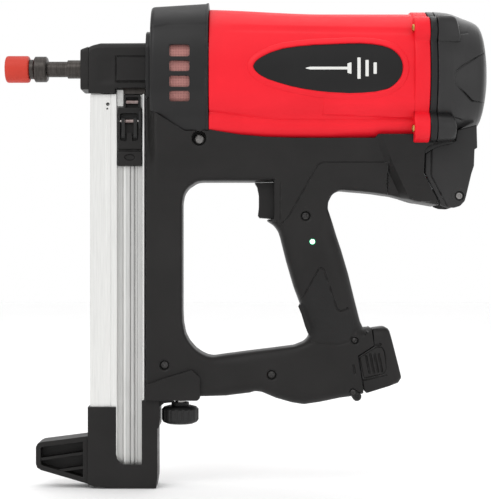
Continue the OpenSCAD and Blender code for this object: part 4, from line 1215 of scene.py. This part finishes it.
CAPB = fillet([(306.2, -217.2, 1.5), (319.5, -214.9, 6), (330.4, -257.6, 3.5), (327.8, -262.2, 3), (301.2, -270.6, 3), (299.4, -268.6, 1), (294.8, -239.6, 0.6), (307.6, -231.4, 0.6)], 3, 5)
BTN = fillet([(295.6, -240.6, 0.8), (308.6, -232.4, 0.8), (313.6, -231.8, 2), (315.6, -236.0, 2), (317.4, -249.6, 1.5), (315.4, -254.0, 1.0), (298.8, -257.8, 0.8)], 1, 3)
SLOT = [(298.4, -259.4), (317.2, -255.2)]
NOTCH = fillet([(308.2, -229.6, 0.6), (313.0, -228.6, 0.6), (313.2, -230.4, 0.6), (309.0, -231.6, 0.6)], 0.5, 2)


SEAM = [(306.2, -215.2), (307.6, -231.4), (294.8, -239.6), (299.4, -268.6)]


def cap_core(P):
    u, v = batt_uv(P)
    return 17.5 * np.power(np.clip(1 - np.power(np.abs((v + 0.5) / 29.5), 3.0), 0.05, 1), 1 / 3.0)


def cap_h(P, d):
    u, v = batt_uv(P)
    h = cap_core(P)
    t = np.clip(1 - d / 4.2, 0, 1)
    e = 1 - np.sqrt(1 - t * t)
    rear = sstep(u, -12, -4) * sstep(seg_dist(P, SEAM), 1.0, 5.0)
    h = h - 4.0 * e * rear - 0.7 * (1 - np.sqrt(1 - np.clip(1 - d / 0.8, 0, 1) ** 2)) * (1 - rear)
    h = h - 1.0 * (1 - sstep(seg_dist(P, SLOT), 0.35, 0.75))
    h = np.where(inside(P, NOTCH), h - 1.6, h)
    # faint bead just inside the closed end
    h = h - 0.35 * np.exp(-((u - np.interp(v, [-26, 26], [-0.6, -3.4])) / 0.6) ** 2)
    return h


for side, tag in ((-1, "left"), (1, "right")):
    me = relief("cap_" + tag, CAPB, [BTN] if side < 0 else [], cap_h, side=side, ybase=0.0, grid=1.5, edge=0.9, rings=(0.2, 0.6, 1.3, 2.4, 3.8), lines=[SLOT, ("closed", NOTCH)])
    link(me, "battery_cap_" + tag, "battery", "black_plastic", ["battery_pack"] if side < 0 else (), 34)
link(lathe("lug", [(-12.4, 0.02), (-12.4, 1.7), (-13.5, 1.9), (-13.6, 3.3), (-13.1, 3.8), (13.1, 3.8), (13.6, 3.3), (13.5, 1.9), (12.4, 1.7), (12.4, 0.02)], "y", (293.3, -273.3), 40), "bar_boss", "frame", "knob_black", (), 34)
# the pack itself, inside the bar
pk = []
for u_, w_ in ((-78, 0.9), (-77, 1.0), (-20, 1.0), (-14, 1.0)):
    for a_ in np.linspace(0, 2 * math.pi, 33)[:-1]:
        c_, s_ = math.cos(a_), math.sin(a_)
        yy = 11.8 * w_ * abs(c_) ** 0.35 * (1 if c_ > 0 else -1)
        vv = 16.8 * w_ * abs(s_) ** 0.35 * (1 if s_ > 0 else -1)
        pk.append(((BC[0] + u_ * math.cos(TB) - vv * math.sin(TB)) * MM, yy * MM, (BC[1] + u_ * math.sin(TB) + vv * math.cos(TB)) * MM))
F = [(i * 32 + k, i * 32 + (k + 1) % 32, (i + 1) * 32 + (k + 1) % 32, (i + 1) * 32 + k) for i in range(3) for k in range(32)] + [tuple(range(32)), tuple(range(96, 128))[::-1]]
link(mesh_from(pk, F, "pack"), "battery_core", "battery", "inner_plastic", (), 40)


def btn_h(P, d):
    h = cap_core(P) - 0.25
    t = np.clip(1 - d / 0.8, 0, 1)
    h = h - 0.4 * (1 - np.sqrt(1 - t * t))
    for k in range(4):
        x0 = 300.6 + 3.5 * k
        l_ = [(x0, -239.4 + (1.6 if k else 0) - 0.2 * k), (x0 + 2.9, -253.4 + 0.4 * k)]
        h = h - 1.3 * (1 - sstep(seg_dist(P, l_), 0.4, 0.95))
    return h


me = relief("button", [tuple(q) for q in (lambda B_: B_)(np.array([(298.6 + (q[0] - 298.6) * 0.99 + 0.12, -245 + (q[1] + 245) * 0.985) for q in BTN]))], [], btn_h, side=-1, ybase=13.7,
            grid=0.8, edge=0.6, rings=(0.15, 0.4, 0.8), lines=[[(300.6 + 3.5 * k, -238), (303.5 + 3.5 * k, -253.2)] for k in range(4)])
link(me, "latch_button", "battery_latch", "black_plastic", ["battery_latch"], 34)

# ------------------------------------------------------------------ nose: plate, housing and flange
def nose_h(P, d):
    x, z = P[:, 0], P[:, 1]
    t = np.clip(1 - d / 0.9, 0, 1)
    h = 17.5 - 0.8 * (1 - np.sqrt(1 - t * t)) * (z < 13)
    # raised side panel toward the flange
    q = np.minimum(np.minimum(x - 93.6, z + 12.2), 8.4 - z)
    h = h + 1.9 * sstep(q, 0.0, 0.9)
    h = h - 0.5 * (1 - sstep(np.abs(q + 0.3), 0.1, 0.5)) * (x > 93.0) * (z < 9) * (z > -13)
    # shallow dish ahead of the panel
    h = h - 0.7 * sstep(x, 76, 84) * (1 - sstep(x, 90, 93.4)) * sstep(z, -16, -10) * (1 - sstep(z, 4, 10))
    return h


N_SIDE = fillet([(70.7, -21.8, 0.5), (93.0, -21.8, 0.8), (93.2, -17.6, 0.8), (118.9, -17.2, 0.4), (118.9, 16.0, 0.1), (80.6, 15.8, 0.1), (77, 15.4, 0.1), (73.6, 14.2, 0.1), (70.7, 12.8, 0.1)], 1, 3)
for side, tag in ((-1, "left"), (1, "right")):
    me = relief("n", N_SIDE, [], nose_h, side=side, ybase=15.1, grid=1.3, edge=0.8, rings=(0.15, 0.4, 0.8, 1.4), lines=[[(93.6, -12.2), (118.8, -12.2)], [(93.6, 8.4), (118.8, 8.4)], [(93.6, -12.2), (93.6, 8.4)]], lw=(0.0, 0.4, 0.9))
    link(me, "nose_side_" + tag, "frame", "black_plastic", ["nose_housing"] if side < 0 else (), 34)


def roof(x):
    zt = float(np.interp(x, [70.6, 74, 80.6, 119], [16.9, 18.4, 20.0, 20.2]))
    a = np.radians(np.linspace(0, 90, 9))
    rt = [(12.9 + 4.6 * math.cos(v), zt - 5.2 + 5.2 * math.sin(v)) for v in a]
    out = [(q[0], q[1]) for q in rt] + [(-q[0], q[1]) for q in rt[::-1]]
    zi = zt - 5.2
    inn = [(-15.1, zi), (-15.1, zt - 3.6), (-13.4, zt - 1.4), (13.4, zt - 1.4), (15.1, zt - 3.6), (15.1, zi)]
    g = 0.5 if x < 70.9 else 0.0
    return np.array([(q[0] * (1 - g / 17.5), q[1] - g) for q in out] + inn)


link(loft("roof", [70.7, 71.3, 73, 75, 77, 79, 80.6, 90, 105, 118.9], roof), "nose_roof", "frame", "black_plastic", (), 34)


def ray(poly, n):
    """n points where rays from the origin leave a closed outline."""
    out = []
    P_ = [np.array(q, float) for q in poly]
    for k in range(n):
        a = 2 * math.pi * (k + 0.5) / n
        dx, dz = math.cos(a), math.sin(a)
        best = 0
        for q0, q1 in zip(P_, P_[1:] + P_[:1]):
            e = q1 - q0
            den = dx * e[1] - dz * e[0]
            if abs(den) < 1e-9:
                continue
            t_ = (q0[0] * e[1] - q0[1] * e[0]) / den
            u_ = (q0[0] * dz - q0[1] * dx) / den
            if t_ > 0 and -1e-6 <= u_ <= 1 + 1e-6:
                best = max(best, t_)
        out.append((dx * best, dz * best))
    return np.array(out)


def face_out(x):
    zb = -18.6
    zt = float(np.interp(x, [63.9, 70.5], [14.7, 17.1]))
    g = 0.9 if x < 63.95 else 0.35 if x < 64.2 else 0.1 if x < 64.6 else 0.0
    w_ = 16.6 - g
    return ray(fillet([(-w_, zb + g, 2.2), (-w_, zt - g, 2.2), (w_, zt - g, 2.2), (w_, zb + g, 2.2)], 2, 4), 96)


FACE_IN = ray([(8.35 * math.cos(a_), 8.35 * math.sin(a_)) for a_ in np.linspace(0, 2 * math.pi, 97)[:-1]], 96)
link(loft("nf", [63.9, 64.1, 64.5, 65.6, 68, 70.4], face_out, inner=lambda x: FACE_IN), "nose_face", "frame", "black_plastic", ["nose_plate"], 34)

FLO = ray(fillet([(-20.5, -26.2, 3), (-28.6, -14, 4), (-28.8, 16, 5), (-22.0, 27.0, 4), (-13.0, 29.6, 4), (13.0, 29.6, 4), (22.0, 27.0, 4), (28.8, 16, 5), (28.6, -14, 4), (20.5, -26.2, 3)], 3, 4), 120)
FLI = ray([(-15.2, -14.2), (-15.2, 18.8), (15.2, 18.8), (15.2, -14.2)], 120)
link(loft("fl", [118.7, 118.85, 119.3, 122.9, 123.35, 123.5], lambda x: FLO * (1 - (0.7 if x in (118.7, 123.5) else 0.2 if x in (118.85, 123.35) else 0.0) / 27), inner=lambda x: FLI),
     "nose_flange", "frame", "cover_black", (), 34)

# ------------------------------------------------------------------ magazine rail: an extruded section
RH = 12.7
RAILP = [(71.6, -RH + 1.4), (72.1, -RH + 0.4), (73.2, -RH), (84.6, -RH), (85.4, -RH + 0.35), (88.6, -RH + 0.35), (89.2, -RH - 0.25), (89.8, -RH - 0.45), (93.4, -RH - 0.45), (94.0, -RH - 0.1),
         (94.2, -RH + 0.6), (94.2, -7.6), (98.4, -7.6), (98.7, -8.4), (99.3, -8.8), (100.2, -8.8), (100.9, -8.3), (104.3, -7.2), (104.4, -6.4), (104.4, -4.6), (105.3, -4.6), (105.3, -7.3), (107.6, -7.3),
         (107.6, -4.6), (108.6, -4.6), (108.6, -7.2), (109.0, -7.6), (110.3, -7.6), (110.5, -7.3), (110.8, -7.6), (114.8, -7.6), (115.0, -RH + 0.4), (115.4, -RH), (116.6, -RH), (117.0, -RH + 0.5),
         (117.0, RH - 0.6), (116.4, RH), (96, RH), (95.4, RH - 0.7), (92.6, RH - 0.7), (92, RH), (73.2, RH), (72.1, RH - 0.4), (71.6, RH - 1.4)]
RBOT = -342.4
me = bpy.data.meshes.new("rail")
V = []
zs = [RBOT, RBOT + 0.4, -22.6, -22.2]
for i, z_ in enumerate(zs):
    V += [(q[0] * MM, q[1] * MM, z_ * MM) for q in RAILP]
nr = len(RAILP)
F = [(i * nr + k, i * nr + (k + 1) % nr, (i + 1) * nr + (k + 1) % nr, (i + 1) * nr + k) for i in range(len(zs) - 1) for k in range(nr)]
F += [tuple(range(nr))[::-1], tuple(range((len(zs) - 1) * nr, len(zs) * nr))]
rail = cutter(mesh_from(V, F, "rail"), "rail_body")


def prism_z(poly, z0, z1, name):
    V, F = [], []
    n = len(poly)
    for z_ in (z0, z1):
        V += [(q[0] * MM, q[1] * MM, z_ * MM) for q in poly]
    F = [tuple(range(n)), tuple(range(2 * n - 1, n - 1, -1))] + [(k, (k + 1) % n, n + (k + 1) % n, n + k) for k in range(n)]
    return mesh_from(V, F, name)


cuts = [cutter(prism_z([(74, -2.4), (102, -2.4), (102, -4.1), (113.6, -4.1), (113.6, 4.1), (102, 4.1), (102, 2.4), (74, 2.4)], -360, -10, "c1"), "c1"),
        cutter(prism_z([(74.6, 4.6), (90.6, 4.6), (90.6, 10), (74.6, 10)], -360, -10, "c2"), "c2"), cutter(prism_z([(74.6, -10), (90.6, -10), (90.6, -4.6), (74.6, -4.6)], -360, -10, "c3"), "c3"),
        cutter(prism_z([(94, 6), (114.4, 6), (114.4, 9.8), (94, 9.8)], -360, -10, "c4"), "c4"),
        cutter(box_me((69, -11.6, -36.6), (80.6, -8.2, -10), "c5"), "c5"), cutter(box_me((69, 8.2, -36.6), (80.6, 11.6, -10), "c6"), "c6"),
        cutter(prism_y(circ(86.4, -30.4, 1.5), -20, -4, "c7"), "c7"), cutter(prism_y(circ(86.0, -34.2, 0.8), -20, -8, "c8"), "c8")]
for c in cuts:
    boolean(rail, c)
bv = rail.modifiers.new("ease", "BEVEL")
bv.width = 0.18 * MM
bv.segments = 2
bv.limit_method = "ANGLE"
bv.angle_limit = math.radians(40)
dg = bpy.context.evaluated_depsgraph_get()
rm = bpy.data.meshes.new_from_object(rail.evaluated_get(dg))
for c in cuts + [rail]:
    bpy.data.objects.remove(c)
rail_o = link(rm, "rail_extrusion", "magazine", "rail_alu", ["magazine_rail"], 30)
rail_o.data.materials.append(M["rail_channel"])
wn = rail_o.modifiers.new("wn", "WEIGHTED_NORMAL")
wn.weight = 100
wn.keep_sharp = True
# faces in the recessed channel take the darker aluminium, which is painted shade
for f_ in rail_o.data.polygons:
    c_ = f_.center / MM
    f_.material_index = 1 if (94.5 < c_.x < 114.9 and -9.5 < c_.y < -2 and not (98.6 < c_.x < 100.95 and c_.y < -8.2)) else 0

# nail stop block at the head of the rail, on the seen side
for nm_, pts_, yb_, yt_ in (("feed_stop", [(93.3, -32.3), (99.4, -32.3), (99.4, -18.2), (93.3, -18.2)], 8.5, 11.5),):
    me = relief(nm_, fillet(pts_, 0.5, 2), [], lambda P, d: yt_ - 0.4 * (1 - np.sqrt(1 - np.clip(1 - d / 0.4, 0, 1) ** 2)), side=-1, ybase=yb_, grid=0.9, edge=0.6, rings=(0.12, 0.35))
    link(me, nm_, "magazine", "cast_alu", ["feed_block"], 34)

# ------------------------------------------------------------------ follower: carrier, latch legs and pin bar
def fol_h(P, d):
    x, z = P[:, 0], P[:, 1]
    t = np.clip(1 - d / 0.6, 0, 1)
    h = 13.0 - 0.55 * (1 - np.sqrt(1 - t * t))
    # well for the latch
    well = fillet([(96.8, -38.2), (111.6, -38.2), (111.6, -60.6), (106.8, -61.2), (106.4, -54.0), (102.6, -54.0), (102.0, -61.2), (96.8, -60.6)], 1.2, 3)
    h = np.where(inside(P, well), 9.4, h)
    # cross seam and the lower block
    h = h - 1.2 * (1 - sstep(np.abs(z + 68.6), 0.3, 0.9))
    h = h + 0.9 * sstep(-z, 69.4, 70.2)
    q = np.hypot((x - 104.6) / 4.4, (z + 74.6) / 2.6)
    h = h - 1.4 * (1 - sstep(q, 0.75, 1.1))
    h = h - 0.5 * (1 - sstep(np.abs(x - 95.9), 0.2, 0.6)) * (z < -70)
    return h


WELL = fillet([(96.8, -38.2), (111.6, -38.2), (111.6, -60.6), (106.8, -61.2), (106.4, -54.0), (102.6, -54.0), (102.0, -61.2), (96.8, -60.6)], 1.2, 3)
me = relief("carrier", fillet([(94.8, -33.2), (114.5, -33.2), (114.5, -81.8), (94.8, -81.8)], 0.8, 3), [], fol_h, side=-1, ybase=9.2, grid=1.0, edge=0.8, rings=(0.15, 0.35, 0.6),
            lines=[("closed", WELL), [(95, -68.6), (114.4, -68.6)], [(95, -69.8), (114.4, -69.8)], ("closed", [(104.6 + 4.4 * math.cos(a_), -74.6 + 2.6 * math.sin(a_)) for a_ in np.linspace(0, 6.1, 22)])], lw=(0.0, 0.3, 0.6))
link(me, "follower_carrier", "follower", "black_plastic", ["follower"], 34)
# two thin webs run through the rail's slots to the pusher
for i, (xa, xb) in enumerate(((104.55, 105.15), (107.75, 108.45))):
    link(prism_y([(xa, -36.5), (xb, -36.5), (xb + 0.01, -40), (xb, -77.5), (xa, -77.5), (xa - 0.01, -40)], -9.3, -2.0, "web%d" % i), "follower_web_%d" % i, "follower", "dark_steel", (), 30)
link(prism_y(fillet([(76, -37.5), (113.2, -36.2), (113.2, -59.8), (104, -59.8), (76, -57.5)], 1.0, 3), -1.9, 1.9, "pusher"), "follower_pusher", "follower", "dark_steel", (), 30)
# latch: hub sleeve with two hooked legs
lat = []
for x0, x1 in ((98.0, 100.6), (108.0, 110.6)):
    prof = fillet([(-15.3, -42.4, 0.8), (-12.0, -41.6, 0.8), (-10.4, -44.2, 0.8), (-11.4, -50, 0.8), (-12.6, -57.6, 0.8), (-13.8, -59.2, 0.8), (-15.4, -57.0, 1.0), (-13.6, -54.6, 0.6), (-14.4, -48, 0.8)], 1, 3)
    V = [(x_ * MM, q[0] * MM, q[1] * MM) for x_ in (x0, x1) for q in prof]
    n_ = len(prof)
    F = [tuple(range(n_)), tuple(range(2 * n_ - 1, n_ - 1, -1))] + [(k, (k + 1) % n_, n_ + (k + 1) % n_, n_ + k) for k in range(n_)]
    link(mesh_from(V, F, "leg"), "latch_leg_%d" % (1 if x0 < 100 else 2), "follower_latch", "knob_black", ["follower_latch"] if x0 < 100 else (), 34)
me = lathe("sleeve", [(97.6, 1.15), (97.6, 1.9), (98.0, 2.2), (101.0, 2.2), (101.4, 1.75), (107.4, 1.75), (107.8, 2.2), (110.6, 2.2), (111.0, 1.9), (111.0, 1.15)], "x", (-11.9, -44.5), 24)
link(me, "latch_sleeve", "follower_latch", "brown_steel", (), 34)
# side lever on the carrier
lev = fillet([(111.9, -36.0, 0.8), (114.3, -36.6, 0.8), (114.4, -50.0, 0.8), (112.6, -51.4, 0.8), (111.6, -47.0, 0.8), (112.4, -42.0, 0.8)], 1, 3)
link(relief("lever", lev, [], lambda P, d: 14.6 - 0.4 * (1 - np.sqrt(1 - np.clip(1 - d / 0.5, 0, 1) ** 2)), side=-1, ybase=12.8, grid=0.7, edge=0.5, rings=(0.15, 0.4)), "carrier_lever", "follower", "knob_black", (), 40)

# ------------------------------------------------------------------ coil springs
def coil(name, x0, x1, r, wire, turns, zc, seg=28, sides=8):
    V, F = [], []
    N = turns * seg
    for i in range(N + 1):
        t = i / N
        a = 2 * math.pi * turns * t
        # closed ends
        x = x0 + wire + (x1 - x0 - 2 * wire) * t
        for k in range(sides):
            b = 2 * math.pi * k / sides
            rr = r + wire * math.cos(b)
            V.append(((x + wire * math.sin(b)) * MM, rr * math.cos(a) * MM, (zc + rr * math.sin(a)) * MM))
    for i in range(N):
        for k in range(sides):
            k2 = (k + 1) % sides
            F.append((i * sides + k, i * sides + k2, (i + 1) * sides + k2, (i + 1) * sides + k))
    F.append(tuple(range(sides)))
    F.append(tuple(range(N * sides, (N + 1) * sides)))
    return mesh_from(V, F, name)


o = link(coil("coil_sleeve", 201.0, 277.5, 26.4, 0.9, 9, 0), "coil_sleeve", "frame", "steel", ["sleeve_spring"], 60)
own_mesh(o)
o = link(coil("coil_trigger", 234.8, 248.6, 2.6, 0.4, 6, -102), "coil_trigger", "frame", "steel", ["trigger_spring"], 60)
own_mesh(o)

# ------------------------------------------------------------------ stage, light, camera
def stage():
    n, V, F = 12, [], []
    zf = -0.3496
    for i in range(n + 1):
        for k in range(n + 1):
            V.append((-3.8 + 8.0 * i / n, -4.0 + 8.0 * k / n, zf))
    for i in range(n):
        for k in range(n):
            a = i * (n + 1) + k
            F.append((a, a + n + 1, a + n + 2, a + 1))
    me = bpy.data.meshes.new("floor")
    me.from_pydata(V, [], F)
    o = bpy.data.objects.new("floor", me)
    bpy.context.scene.collection.objects.link(o)
    m_, nt_, b_ = mat("floor", (0.95, 0.95, 0.95), rough=0.6, spec=0.2)
    v_ = coords(nt_)
    nt_.links.new(ramp(nt_, noise(nt_, v_, 3, 3), [(0.3, grey(0.972)), (0.7, grey(0.984))]), b_.inputs["Base Color"])
    o.data.materials.append(m_)


stage()


def area_light(name, loc, target, size, power, sy=None):
    l = bpy.data.lights.new(name, "AREA")
    l.energy = power
    l.shape = "RECTANGLE"
    l.size = size
    l.size_y = sy or size
    o = bpy.data.objects.new(name, l)
    o.location = loc
    d = Vector(target) - Vector(loc)
    o.rotation_euler = d.to_track_quat("-Z", "Y").to_euler()
    bpy.context.scene.collection.objects.link(o)
    return o


C = (0.2, 0, -0.12)
area_light("key", (-0.40, -1.1, 1.0), C, 0.9, 6.4)
area_light("fill", (1.3, -1.5, 0.35), C, 1.3, 2.5)
area_light("top", (0.25, 0.15, 1.5), C, 1.0, 5.0)
area_light("rear", (0.9, 1.3, 0.9), C, 1.1, 3.0)
w = bpy.data.worlds.new("w")
bpy.context.scene.world = w
w.use_nodes = True
w.node_tree.nodes["Background"].inputs[0].default_value = (1, 1, 1, 1)
w.node_tree.nodes["Background"].inputs[1].default_value = 1.0

cam = bpy.data.cameras.new("cam")
co = bpy.data.objects.new("cam", cam)
bpy.context.scene.collection.objects.link(co)
DIST = 1.15
co.location = (0.2008, -DIST, -0.1512)
co.rotation_euler = (math.radians(90), 0, 0)
cam.sensor_fit = "HORIZONTAL"
cam.sensor_width = 36
cam.lens = 36 * DIST / (491 * 0.84 * MM)
cam.clip_end = 20
bpy.context.scene.camera = co
vs = bpy.context.scene.view_settings
vs.view_transform = "Standard"
vs.look = "None"
